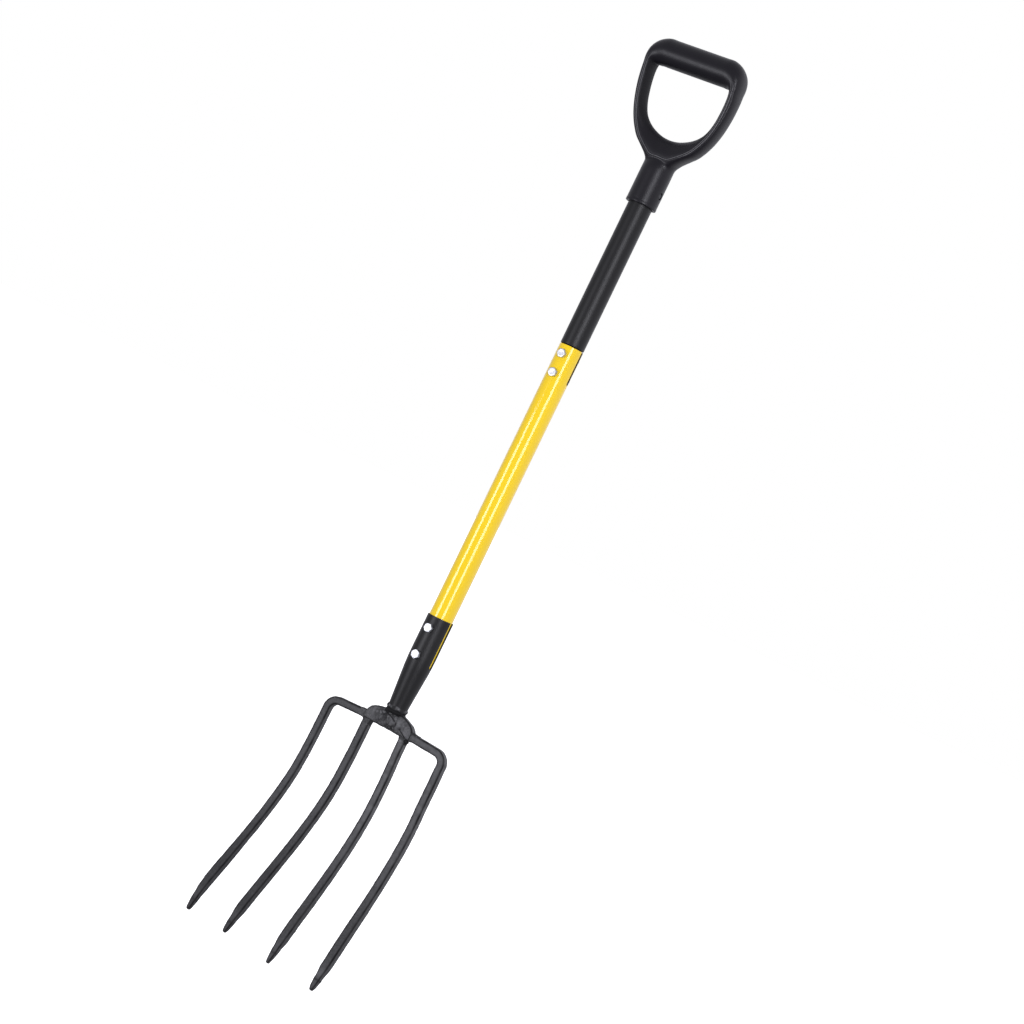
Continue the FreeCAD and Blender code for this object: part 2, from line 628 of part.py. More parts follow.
os.makedirs("parts", exist_ok=True)
for obj in NODES:
    shape = obj.Shape
    if shape.isNull() or not shape.isValid():
        raise RuntimeError("bad shape: " + obj.Label)
    if not shape.Solids:
        raise RuntimeError("no solid: " + obj.Label)
    shape.exportStep("parts/" + obj.Label + ".step")
    bb = shape.BoundBox
    print("%-22s solids %d volume %10.1f  x %.1f..%.1f  y %.1f..%.1f  z %.1f..%.1f" % (
        obj.Label, len(shape.Solids), shape.Volume, bb.XMin, bb.XMax, bb.YMin, bb.YMax, bb.ZMin, bb.ZMax))
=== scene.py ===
import math

import bmesh
import bpy
import numpy as np
from mathutils import Matrix, Vector
from mathutils.kdtree import KDTree


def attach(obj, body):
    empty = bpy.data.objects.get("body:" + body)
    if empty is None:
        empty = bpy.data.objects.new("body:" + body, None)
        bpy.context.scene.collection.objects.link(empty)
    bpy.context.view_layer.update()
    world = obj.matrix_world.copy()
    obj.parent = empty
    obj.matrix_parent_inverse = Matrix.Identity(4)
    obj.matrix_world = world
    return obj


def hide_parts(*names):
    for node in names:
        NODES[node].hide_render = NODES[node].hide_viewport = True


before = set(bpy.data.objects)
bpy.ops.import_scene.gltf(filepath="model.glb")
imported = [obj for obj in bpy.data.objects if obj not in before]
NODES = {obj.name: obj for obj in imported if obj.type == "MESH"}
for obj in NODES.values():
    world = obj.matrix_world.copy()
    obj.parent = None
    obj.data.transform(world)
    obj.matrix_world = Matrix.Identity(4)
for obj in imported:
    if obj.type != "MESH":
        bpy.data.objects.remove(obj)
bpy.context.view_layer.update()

MM = 0.001


# ------------------------------------------------------------------ numbers
def catmull(xs, ys, x):
    """Cubic through a table, for one x or an array of them."""
    xs, ys = np.asarray(xs, float), np.asarray(ys, float)
    if xs[0] > xs[-1]:
        xs, ys = xs[::-1], ys[::-1]
    x = np.clip(np.asarray(x, float), xs[0], xs[-1])
    k = np.clip(np.searchsorted(xs, x) - 1, 0, len(xs) - 2)
    m = np.gradient(ys, xs, axis=0)
    h = xs[k + 1] - xs[k]
    t = (x - xs[k]) / h
    if ys.ndim > 1:
        h, t = h[..., None], t[..., None]
    return ((2 * t ** 3 - 3 * t ** 2 + 1) * ys[k] + (t ** 3 - 2 * t ** 2 + t) * h * m[k]
            + (-2 * t ** 3 + 3 * t ** 2) * ys[k + 1] + (t ** 3 - t ** 2) * h * m[k + 1])


def lattice(seed):
    rng = np.random.RandomState(seed)
    return rng.rand(64, 64, 64).astype(np.float64)


LATTICE = lattice(7)


def value_noise(p, scale, offset=0.0):
    """Smooth value noise in -1..1 at the points p (mm), wavelength about scale mm."""
    q = np.asarray(p, float) / scale + offset
    i = np.floor(q).astype(int)
    f = q - i
    f = f * f * f * (f * (f * 6 - 15) + 10)
    out = 0.0
    for dx in (0, 1):
        wx = f[:, 0] if dx else 1 - f[:, 0]
        for dy in (0, 1):
            wy = f[:, 1] if dy else 1 - f[:, 1]
            for dz in (0, 1):
                wz = f[:, 2] if dz else 1 - f[:, 2]
                out = out + wx * wy * wz * LATTICE[(i[:, 0] + dx) % 64, (i[:, 1] + dy) % 64, (i[:, 2] + dz) % 64]
    return out * 2 - 1


def dents(p, scale, offset=0.0):
    """Shallow round hammer marks, 0 at their rims and -1 at their centres."""
    q = np.asarray(p, float) / scale + offset
    base = np.floor(q).astype(int)
    best = np.full(len(q), 9.0)
    for dx in (-1, 0, 1):
        for dy in (-1, 0, 1):
            for dz in (-1, 0, 1):
                c = base + np.array([dx, dy, dz])
                a, b, d = c[:, 0] % 64, c[:, 1] % 64, c[:, 2] % 64
                jitter = np.stack([LATTICE[a, b, d], LATTICE[b, d, a], LATTICE[d, a, b]], 1)
                best = np.minimum(best, ((q - c - jitter) ** 2).sum(1))
    return -np.clip(1 - np.sqrt(best) / 0.75, 0, 1) ** 1.5


def cells(p, scale, offset=0.0):
    """Distance to the nearest and second nearest seed point, in cells."""
    q = np.asarray(p, float) / scale + offset
    base = np.floor(q).astype(int)
    first = np.full(len(q), 9.0)
    second = np.full(len(q), 9.0)
    for dx in (-1, 0, 1):
        for dy in (-1, 0, 1):
            for dz in (-1, 0, 1):
                c = base + np.array([dx, dy, dz])
                a, b, d = c[:, 0] % 64, c[:, 1] % 64, c[:, 2] % 64
                jitter = np.stack([LATTICE[a, b, d], LATTICE[b, d, a], LATTICE[d, a, b]], 1)
                r = np.sqrt(((q - c - jitter) ** 2).sum(1))
                second = np.minimum(second, np.maximum(first, r))
                first = np.minimum(first, r)
    return first, second


def creases(p, scale, offset=0.0, width=0.16):
    """1 on the lines between neighbouring cells, fading to 0 beside them."""
    first, second = cells(p, scale, offset)
    return np.clip(1 - (second - first) / width, 0, 1)


# ------------------------------------------------------------------ meshes
def make(name, verts, faces, material, slot, smooth=40.0, body="root", **masks):
    """A piece of the object from points in mm, with per-point masks for its material."""
    mesh = bpy.data.meshes.new(name)
    mesh.from_pydata([tuple(v) for v in (np.asarray(verts, float) * MM).tolist()], [], [tuple(f) for f in faces])
    for key, values in masks.items():
        layer = mesh.attributes.new(key, "FLOAT", "POINT")
        layer.data.foreach_set("value", np.clip(np.asarray(values, float), 0, 1))
    obj = bpy.data.objects.new(name, mesh)
    bpy.context.scene.collection.objects.link(obj)
    finish_mesh(obj, smooth)
    mesh.materials.append(material)
    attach(obj, body)
    return obj


def finish_mesh(obj, smooth):
    bm = bmesh.new()
    bm.from_mesh(obj.data)
    bmesh.ops.remove_doubles(bm, verts=bm.verts, dist=1e-7)
    bmesh.ops.recalc_face_normals(bm, faces=bm.faces)
    bm.to_mesh(obj.data)
    bm.free()
    obj.data.polygons.foreach_set("use_smooth", [True] * len(obj.data.polygons))
    obj.data.set_sharp_from_angle(angle=math.radians(smooth))
    obj.data.update()


def loft(rings, closed_path=False, start=None, end=None):
    """Faces between rings of equal count; start and end are cap points."""
    rings = [np.asarray(r, float) for r in rings]
    n = len(rings[0])
    verts = list(np.concatenate(rings))
    faces = []
    count = len(rings)
    for i in range(count if closed_path else count - 1):
        a, b = i * n, ((i + 1) % count) * n
        for j in range(n):
            k = (j + 1) % n
            faces.append((a + j, a + k, b + k, b + j))
    if not closed_path:
        for cap, ring in ((start, 0), (end, count - 1)):
            if cap is None:
                face = [ring * n + j for j in range(n)]
                faces.append(tuple(face if ring else face[::-1]))
            else:
                verts.append(np.asarray(cap, float))
                c = len(verts) - 1
                for j in range(n):
                    k = (j + 1) % n
                    faces.append((ring * n + j, ring * n + k, c) if ring else (ring * n + k, ring * n + j, c))
    return np.array(verts), faces


def join(parts):
    """One vertex and face list from several."""
    verts, faces, base = [], [], 0
    for v, f in parts:
        verts.append(np.asarray(v, float))
        faces += [tuple(i + base for i in face) for face in f]
        base += len(v)
    return np.concatenate(verts), faces


def normals_of(verts, faces):
    verts = np.asarray(verts, float)
    out = np.zeros_like(verts)
    for f in faces:
        p = verts[list(f)]
        nrm = np.cross(p[1] - p[0], p[2] - p[0])
        if len(f) == 4:
            nrm = nrm + np.cross(p[2] - p[0], p[3] - p[0])
        for i in f:
            out[i] += nrm
    length = np.linalg.norm(out, axis=1)
    length[length == 0] = 1
    return out / length[:, None]


def turned(profile, centre, axis, count=48, closed=True):
    """Revolves (radius, height) points about an axis; heights run along it."""
    axis = np.asarray(axis, float) / np.linalg.norm(axis)
    side = np.cross(axis, [0, 0, 1.0])
    if np.linalg.norm(side) < 0.1:
        side = np.cross(axis, [1.0, 0, 0])
    side /= np.linalg.norm(side)
    other = np.cross(axis, side)
    rings = []
    for r, h in profile:
        ang = np.arange(count) * 2 * math.pi / count
        rings.append(np.asarray(centre) + axis * h + r * (np.cos(ang)[:, None] * side + np.sin(ang)[:, None] * other))
    return rings


def rounded_square(half, radius, per_corner=5, per_side=6):
    """Section points (u, v) of a square bar with rounded corners."""
    pts = []
    c = half - radius
    for k, (cx, cy) in enumerate(((c, c), (-c, c), (-c, -c), (c, -c))):
        for i in range(per_corner):
            a = math.pi / 2 * (k + i / (per_corner - 1))
            pts.append((cx + radius * math.cos(a), cy + radius * math.sin(a)))
        nx, ny = ((-c, c), (-c, -c), (c, -c), (c, c))[k]
        a = math.pi / 2 * (k + 1)
        p0 = np.array((cx + radius * math.cos(a), cy + radius * math.sin(a)))
        p1 = np.array((nx + radius * math.cos(a), ny + radius * math.sin(a)))
        for i in range(1, per_side):
            pts.append(tuple(p0 + (p1 - p0) * i / per_side))
    return np.array(pts)


# ------------------------------------------------------------------ materials
def nodes_of(name):
    m = bpy.data.materials.new(name)
    m.use_nodes = True
    t = m.node_tree
    return m, t, t.nodes["Principled BSDF"]


def add(tree, kind, **settings):
    n = tree.nodes.new(kind)
    for k, v in settings.items():
        if hasattr(n, k):
            setattr(n, k, v)
        else:
            n.inputs[k].default_value = v
    return n


def coords(tree):
    return add(tree, "ShaderNodeTexCoord").outputs["Object"]


def noise(tree, vector, scale, detail=3.0, roughness=0.55):
    n = add(tree, "ShaderNodeTexNoise")
    n.inputs["Scale"].default_value = scale
    n.inputs["Detail"].default_value = detail
    n.inputs["Roughness"].default_value = roughness
    tree.links.new(vector, n.inputs["Vector"])
    return n.outputs["Fac"]


def ramp(tree, fac, stops):
    r = add(tree, "ShaderNodeValToRGB")
    while len(r.color_ramp.elements) < len(stops):
        r.color_ramp.elements.new(0.5)
    for e, (pos, colour) in zip(r.color_ramp.elements, stops):
        e.position = pos
        e.color = (*colour, 1.0)
    tree.links.new(fac, r.inputs["Fac"])
    return r.outputs["Color"]


def spread(tree, fac, low, high, start=0.0, stop=1.0):
    m = add(tree, "ShaderNodeMapRange")
    m.inputs["From Min"].default_value = start
    m.inputs["From Max"].default_value = stop
    m.inputs["To Min"].default_value = low
    m.inputs["To Max"].default_value = high
    tree.links.new(fac, m.inputs["Value"])
    return m.outputs["Result"]


def bump(tree, height, strength, distance, normal=None):
    b = add(tree, "ShaderNodeBump")
    b.inputs["Strength"].default_value = strength
    b.inputs["Distance"].default_value = distance
    tree.links.new(height, b.inputs["Height"])
    if normal is not None:
        tree.links.new(normal, b.inputs["Normal"])
    return b.outputs["Normal"]


def yellow_paint():
    m, t, p = nodes_of("yellow_gloss_paint")
    v = coords(t)
    tone = noise(t, v, 9.0, 3.0)
    outside = ramp(t, tone, [(0.3, (0.900, 0.616, 0.002)), (0.7, (0.925, 0.636, 0.004))])
    # The bore, the slit walls and the slit lips turn near black: painted shade inside the tube.
    colour = blend(t, attribute(t, "dark"), outside, (0.008, 0.007, 0.005))
    t.links.new(colour, p.inputs["Base Color"])
    t.links.new(spread(t, noise(t, v, 60.0), 0.44, 0.50), p.inputs["Roughness"])
    peel = noise(t, v, 700.0, 2.0)
    t.links.new(bump(t, peel, 0.003, 0.0002), p.inputs["Normal"])
    p.inputs["Coat Weight"].default_value = 1.0
    p.inputs["Coat Roughness"].default_value = 0.09
    p.inputs["Coat IOR"].default_value = 1.5
    p.inputs["Specular IOR Level"].default_value = 0.12
    return m


def black_paint(name="black_satin_paint", level=0.0030, rough=(0.41, 0.46)):
    m, t, p = nodes_of(name)
    v = coords(t)
    tone = noise(t, v, 25.0, 4.0)
    t.links.new(ramp(t, tone, [(0.3, (level, level, level * 1.25)),
                               (0.7, (level * 1.35, level * 1.35, level * 1.5))]), p.inputs["Base Color"])
    t.links.new(spread(t, noise(t, v, 180.0, 4.0), rough[0], rough[1]), p.inputs["Roughness"])
    peel = noise(t, v, 700.0, 2.0)
    t.links.new(bump(t, peel, 0.03, 0.0002), p.inputs["Normal"])
    p.inputs["Specular IOR Level"].default_value = 0.36
    return m


def handle_plastic():
    m, t, p = nodes_of("black_moulded_plastic")
    v = coords(t)
    tone = noise(t, v, 30.0, 4.0)
    colour = ramp(t, tone, [(0.3, (0.0040, 0.0034, 0.0060)), (0.7, (0.0058, 0.0050, 0.0082))])
    # Painted highlights along the two ridges of the front rim.
    colour = blend(t, attribute(t, "worn"), colour, (0.150, 0.148, 0.156))
    # Painted shade in the rim's valley and on the arms' faces towards the hand opening, darker and rougher.
    colour = blend(t, attribute(t, "dark"), colour, (0.0012, 0.0012, 0.0014))
    t.links.new(colour, p.inputs["Base Color"])
    rough = spread(t, noise(t, v, 220.0, 4.0), 0.36, 0.43)
    dull = add(t, "ShaderNodeMix")
    t.links.new(attribute(t, "dark"), dull.inputs[0])
    t.links.new(rough, dull.inputs[2])
    dull.inputs[3].default_value = 0.90
    t.links.new(dull.outputs[0], p.inputs["Roughness"])
    grain = noise(t, v, 1600.0, 3.0)
    t.links.new(bump(t, grain, 0.05, 0.00015), p.inputs["Normal"])
    p.inputs["Specular IOR Level"].default_value = 0.34
    return m


def attribute(tree, name):
    a = add(tree, "ShaderNodeAttribute")
    a.attribute_name = name
    return a.outputs["Fac"]


def blend(tree, fac, a, b):
    m = add(tree, "ShaderNodeMix", data_type="RGBA")
    tree.links.new(fac, m.inputs[0])
    for sock, val in ((m.inputs[6], a), (m.inputs[7], b)):
        if isinstance(val, tuple):
            sock.default_value = (*val, 1.0)
        else:
            tree.links.new(val, sock)
    return m.outputs[2]


def forged(name="forged_hammer_coat", low=0.013, high=0.048, scale=1.0):
    m, t, p = nodes_of(name)
    v = coords(t)
    tone = noise(t, v, 420.0 * scale, 5.0, 0.7)
    colour = ramp(t, tone, [(0.36, (low, low, low * 1.04)), (0.64, (high, high * 0.995, high * 1.04))])
    # The lighter mask carries painted light and painted highlights on the tines and welds, and a random paler tone on
    # the crown.
    colour = blend(t, attribute(t, "worn"), colour, (high * 2.1, high * 2.1, high * 2.16))
    # The dark mask is near black and rough: painted shade on edges, lower tines and weld undercut, and darker creases
    # on the crown.
    colour = blend(t, attribute(t, "dark"), colour, (0.0016, 0.0016, 0.0019))
    t.links.new(colour, p.inputs["Base Color"])
    rough = spread(t, noise(t, v, 420.0 * scale, 4.0), 0.38, 0.60)
    dull = add(t, "ShaderNodeMix")
    t.links.new(attribute(t, "dark"), dull.inputs[0])
    t.links.new(rough, dull.inputs[2])
    dull.inputs[3].default_value = 0.95
    t.links.new(dull.outputs[0], p.inputs["Roughness"])
    coarse = noise(t, v, 330.0 * scale, 4.0, 0.6)
    first = bump(t, coarse, 0.55, 0.0007)
    fine = noise(t, v, 1500.0, 3.0)
    t.links.new(bump(t, fine, 0.25, 0.0002, first), p.inputs["Normal"])
    p.inputs["Specular IOR Level"].default_value = 0.42
    return m


def zinc():
    m, t, p = nodes_of("bright_zinc_plate")
    v = coords(t)
    t.links.new(ramp(t, noise(t, v, 400.0, 4.0), [(0.3, (0.46, 0.47, 0.49)), (0.7, (0.62, 0.63, 0.65))]), p.inputs["Base Color"])
    p.inputs["Metallic"].default_value = 1.0
    t.links.new(spread(t, noise(t, v, 900.0, 4.0), 0.34, 0.50), p.inputs["Roughness"])
    t.links.new(bump(t, noise(t, v, 2200.0, 3.0), 0.15, 0.0001), p.inputs["Normal"])
    return m


def screw_steel():
    m, t, p = nodes_of("black_oxide_steel")
    v = coords(t)
    t.links.new(ramp(t, noise(t, v, 500.0, 3.0), [(0.3, (0.035, 0.035, 0.038)), (0.7, (0.07, 0.07, 0.075))]), p.inputs["Base Color"])
    p.inputs["Metallic"].default_value = 0.8
    t.links.new(spread(t, noise(t, v, 900.0, 3.0), 0.32, 0.5), p.inputs["Roughness"])
    t.links.new(bump(t, noise(t, v, 1800.0, 3.0), 0.15, 0.0001), p.inputs["Normal"])
    return m


YELLOW, BLACK, PLASTIC = yellow_paint(), black_paint(), handle_plastic()
FORGED = forged()
CROWN = forged("forged_crown_coat", 0.024, 0.082, 1.0)
BEAD = forged("weld_bead_coat", 0.018, 0.070, 1.1)
ZINC, SCREW = zinc(), screw_steel()


# ------------------------------------------------------------------ tines
CURVE_Z = [-300, -340, -360, -380, -400, -420, -440, -460, -480, -500, -520, -540, -560, -580, -600, -616]
CURVE_Y = [0, 0, -0.2, -1.2, -3.6, -7.0, -11.2, -16.4, -22.5, -29.3, -36.9, -44.8, -53.1, -60.9, -68.2, -73.8]
STATIONS = [-340, -380, -420, -460, -500, -540, -580, -614]
# shade gives per tine the strength of the painted light on the upper part and of the painted shade towards the point.
TINES = {
    "outer_tine_left": dict(x=[-86.15, -86.3, -85.95, -87.85, -90.8, -93.9, -96.65, -96.3], tip=-612.6,
                            root=(-34.8, -318.3), end=-321.2, shade=(0.10, 0.36), seed=1.3),
    "inner_tine_left": dict(x=[-28.9, -29.0, -28.5, -30.2, -32.85, -35.65, -38.0, -38.8], tip=-612.6, shade=(0.09, 0.34), seed=5.1),
    "inner_tine_right": dict(x=[25.7, 27.4, 29.75, 30.66, 30.8, 30.65, 30.6, 31.1], tip=-615.9, shade=(0.46, 0.18), seed=8.7),
    "outer_tine_right": dict(x=[85.5, 86.4, 89.4, 91.15, 92.7, 94.2, 96.2, 96.9], tip=-615.9,
                             root=(34.8, -317.1), end=-318.7, shade=(0.34, 0.10), seed=12.9),
}
WIDTHS = {
    "outer_tine_left": [(-300, 9.2), (-354, 9.1), (-425, 9.15), (-440, 9.3), (-510, 9.3), (-573, 9.4), (-578, 9.06), (-582, 8.84),
                        (-587, 8.28), (-591, 7.39), (-596, 7.18), (-600, 6.78), (-604, 5.91), (-609, 4.82), (-611.4, 3.5)],
    "inner_tine_left": [(-300, 9.5), (-400, 9.6), (-480, 9.75), (-560, 9.8), (-577, 9.75), (-582, 9.56), (-587, 8.82), (-591, 7.88),
                        (-596, 7.12), (-600, 6.88), (-604, 6.04), (-609, 4.74), (-611.4, 3.5)],
    "inner_tine_right": [(-300, 9.05), (-350, 9.05), (-400, 9.3), (-480, 9.6), (-560, 9.9), (-577, 9.85), (-582, 9.55), (-586, 9.32),
                         (-590, 8.71), (-595, 7.55), (-599, 7.32), (-603, 6.56), (-607.5, 5.66), (-612, 4.35), (-614.7, 3.3)],
    "outer_tine_right": [(-300, 9.1), (-345, 9.45), (-400, 9.55), (-480, 9.65), (-577, 9.98), (-585, 9.86), (-589.5, 9.38), (-594, 8.27),
                         (-598, 7.58), (-602, 7.60), (-606.5, 6.59), (-611, 5.67), (-614.7, 3.6)],
}
CROWN_BOTTOM, CROWN_TOP = -322.8, -300.0


def tine_path(t):
    pts, tans = [], []
    down = np.array([0, 0, -1.0])
    if "root" in t:
        sgn = math.copysign(1, t["x"][0])
        root = np.array([t["root"][0], 0, t["root"][1]])
        d = np.array([t["x"][0] - root[0], 0, t["end"] - root[2]])
        d /= np.linalg.norm(d)
        turn = math.acos(float(d @ down))
        radius = 13.0
        reach = radius * math.tan(turn / 2)
        corner = np.array([t["x"][0], 0, t["end"]])
        centre = corner + down * reach - np.array([sgn * radius, 0, 0])
        start = corner - d * reach
        length = np.linalg.norm(start - root)
        for s in np.arange(0, length - 0.5, 1.1):
            pts.append(root + d * s)
            tans.append(d)
        for i in range(23):
            a = turn * i / 22
            tan = d * (math.sin(turn - a) / math.sin(turn)) + down * (math.sin(a) / math.sin(turn))
            tan /= np.linalg.norm(tan)
            pts.append(centre + np.array([-tan[2] * sgn, 0, tan[0] * sgn]) * radius)
            tans.append(tan)
    else:
        for z in np.arange(CROWN_BOTTOM - 0.05, -333.0, -1.1):
            pts.append(np.array([t["x"][0], 0, z]))
            tans.append(down)
    z0 = pts[-1][2] - 1.1
    zs = np.arange(z0, t["tip"] + 1.2, -1.1)
    x = catmull(STATIONS, t["x"], zs)
    y = catmull(CURVE_Z, CURVE_Y, zs)
    # ease from the straight start into the table
    curve = np.stack([x, y, zs], 1)
    first = pts[-1]
    blend = np.clip((first[2] - zs) / 20.0, 0, 1)[:, None]
    straight = np.stack([np.full_like(zs, first[0]), np.zeros_like(zs), zs], 1)
    curve = straight * (1 - blend) + curve * blend
    tan = np.gradient(curve, axis=0)
    tan /= np.linalg.norm(tan, axis=1)[:, None]
    pts += list(curve)
    tans += list(tan)
    return np.array(pts), np.array(tans)


def tine_mesh(name, t):
    pts, tans = tine_path(t)
    table = np.array(WIDTHS[name])
    rings, marks, worn = [], [], []
    per_corner, per_side = 5, 6
    # Painted shade along the four rounded edges of the bar.
    on_arc = np.tile(np.array([0.85, 1.0, 1.0, 1.0, 0.85, 0.12] + [0.0] * (per_side - 3) + [0.12]), 4)
    travelled = np.concatenate([[0], np.cumsum(np.linalg.norm(np.diff(pts, axis=0), axis=1))])
    wob = value_noise(np.stack([travelled, travelled * 0 + t["seed"] * 7, travelled * 0], 1), 23.0)
    for i, (p, tan) in enumerate(zip(pts, tans)):
        front = np.array([0, -1.0, 0])
        front = front - tan * (front @ tan)
        front /= np.linalg.norm(front)
        side = np.cross(tan, front)
        above = p[2] - t["tip"]
        half = (float(catmull(table[:, 0], table[:, 1], p[2])) + 0.45) / 2 * (1 + 0.008 * wob[i])
        sec = rounded_square(half, min(1.05, half * 0.40), per_corner, per_side)
        rings.append(p + sec[:, :1] * side + sec[:, 1:] * front)
        # Painted shade grows towards the point and painted light fades in above it.
        low = min(1.0, max(0.0, (-430.0 - p[2]) / 110.0))
        mark = np.maximum(on_arc, t["shade"][1] * low)
        lit = np.full(len(sec), t["shade"][0] * (1 - low))
        # Near the point: a painted shadow line where the taper starts, darkening at the very point, and painted
        # highlights on the front faces of the taper.
        if above < 40:
            mark = np.maximum(mark, 0.85 * math.exp(-((above - 13.2) / 1.1) ** 2))
            if above < 4:
                mark = np.maximum(mark, 0.75 * (1 - above / 4))
            facing = np.clip(sec[:, 1] / half, 0, 1) ** 2
            lit = lit + facing * 0.34 * math.exp(-((above - 21) / 6.0) ** 2) + facing * 0.10 * math.exp(-((above - 7.5) / 3.0) ** 2)
            sec[:, 1] *= 1 - 0.10 * math.exp(-((above - 13.0) / 2.2) ** 2) + 0.06 * math.exp(-((above - 7.0) / 2.5) ** 2)
        marks.append(mark)
        worn.append(lit)
    p, tan = pts[-1], tans[-1]
    last = rings[-1] - p
    nose = np.linalg.norm(last, axis=1).mean()
    # The rounded nose is darkened too.
    for a in (25, 50, 72):
        r = math.radians(a)
        rings.append(p + tan * nose * 0.62 * math.sin(r) + last * math.cos(r))
        marks.append(np.full(len(sec), 0.85))
        worn.append(np.zeros(len(sec)))
    verts, faces = loft(rings, end=p + tan * nose * 0.62)
    marks = np.append(np.concatenate(marks), 0.85)
    worn = np.append(np.concatenate(worn), 0.0)
    n = normals_of(verts, faces)
    amount = (0.12 * value_noise(verts, 7.0, t["seed"]) + 0.10 * value_noise(verts, 3.1, t["seed"] + 3)
              + 0.15 * dents(verts, 6.5, t["seed"]) + 0.06 * value_noise(verts, 1.6, t["seed"] + 9))
    near_tip = np.clip((verts[:, 2] - t["tip"]) / 30.0, 0.4, 1)
    hold = np.clip((np.linalg.norm(verts - pts[0], axis=1) - 4.0) / 3.0, 0, 1)
    uneven = 0.86 + 0.25 * value_noise(verts, 9.0, t["seed"] + 20)
    worn = worn * np.clip(1.0 + 0.8 * value_noise(verts, 4.0, t["seed"] + 31), 0, 2)
    return verts + n * (amount * near_tip * hold)[:, None], faces, marks * uneven, worn


for name, t in TINES.items():
    v, f, marks, worn = tine_mesh(name, t)
    obj = make(name + "_forged", v, f, FORGED, "forged_steel", smooth=50, dark=marks, worn=worn)
    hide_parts(name)

# ------------------------------------------------------------------ crown
TOP_X = [-34.8, -34.2, -33.6, -31.4, -27.3, -23.3, -19.2, -13.2, -6, 6, 14.4, 20.8, 24.8, 28.8, 32.8, 34.2, 34.8]
TOP_Z = [-313.0, -311.2, -309.4, -306.6, -304.0, -302.3, -301.3, -300.0, -299.6, -299.6, -300.0, -302.0, -303.4, -305.5, -308.9, -310.8, -311.6]


def crown_mesh():
    rings = []
    xs = np.concatenate([[-34.8 + 0.0], np.linspace(-34.4, 34.4, 118), [34.8]])
    count = 96
    ang = np.arange(count) * 2 * math.pi / count
    for x in xs:
        top = float(np.interp(x, TOP_X, TOP_Z)) + 0.3
        edge = min(abs(x + 34.8), abs(34.8 - x))
        bottom = CROWN_BOTTOM
        squash = math.sqrt(max(0.0, 1 - max(0.0, 1 - edge / 4.0) ** 2))
        depth = 6.9 * (0.66 + 0.34 * squash)
        mid, half = (top + bottom) / 2, (top - bottom) / 2 * (0.90 + 0.10 * squash)
        c, s = np.cos(ang), np.sin(ang)
        p = 3.6
        y = depth * np.sign(c) * np.abs(c) ** (2 / p)
        q = np.where(s > 0, 2.9, 5.0)
        z = mid + half * np.sign(s) * np.abs(s) ** (2 / q)
        # leaner towards the top, like a forging
        y = y * (1 - 0.10 * np.clip((z - mid) / half, 0, 1) ** 2)
        rings.append(np.stack([np.full(count, x), y, z], 1))
    verts, faces = loft(rings)
    n = normals_of(verts, faces)
    # hammer marks with creases between them, and one long crease across the face
    bent = verts + 1.6 * np.stack([value_noise(verts, 5.0, k) for k in (2.0, 5.0, 8.0)], 1)
    middle = np.clip(1.5 - np.abs(verts[:, 0] + 1.0) / 18.0, 0, 1)
    line = creases(bent, 4.6, 4.4, 0.34) * np.clip(1.05 + 1.1 * value_noise(verts, 6.5, 14.0), 0, 1) * middle
    long_z = np.interp(verts[:, 0], [-12, -4, 4, 12, 20, 25, 30], [-302.5, -305.0, -308.0, -311.8, -316.0, -319.5, -322.0])
    scar = np.clip(1.4 - np.abs(verts[:, 2] - long_z + 0.8 * value_noise(verts, 4.0, 3.0)) / 0.9, 0, 1)
    scar *= (verts[:, 1] < -2) * (verts[:, 0] > -12) * (verts[:, 0] < 29)
    amount = (0.30 * value_noise(verts, 8.5, 2.2) + 0.16 * dents(verts, 5.0, 4.4) + 0.10 * value_noise(verts, 3.2, 6.0)
              + 0.07 * value_noise(verts, 1.6, 1.0) - 0.40 * line - 0.45 * scar)
    # Painted shade on the band where the surface turns away from the front; the creases and scar are darker as well.
    flat = np.abs(n[:, 1])
    rim = np.clip(1.25 - np.abs(flat - 0.52) / 0.34, 0, 1)
    marks = np.maximum(np.maximum(line, scar), rim)
    worn = np.clip(0.08 + 0.26 * value_noise(verts, 3.4, 31.0), 0, 1) * (1 - marks)
    verts = verts + n * amount[:, None]
    tang, tf = loft(turned([(10.8, -302.5), (10.8, -286.6), (10.2, -286.0)], (0, 0, 0), (0, 0, 1)))
    out, of = join([(verts, faces), (tang, tf)])
    # The tang inside the socket is darkened in full: painted shade.
    return out, of, np.append(marks, np.ones(len(tang))), np.append(worn, np.zeros(len(tang)))


v, f, marks, worn = crown_mesh()
crown = make("forged_crown", v, f, CROWN, "forged_steel", smooth=60, dark=marks, worn=worn)
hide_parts("head_crown")


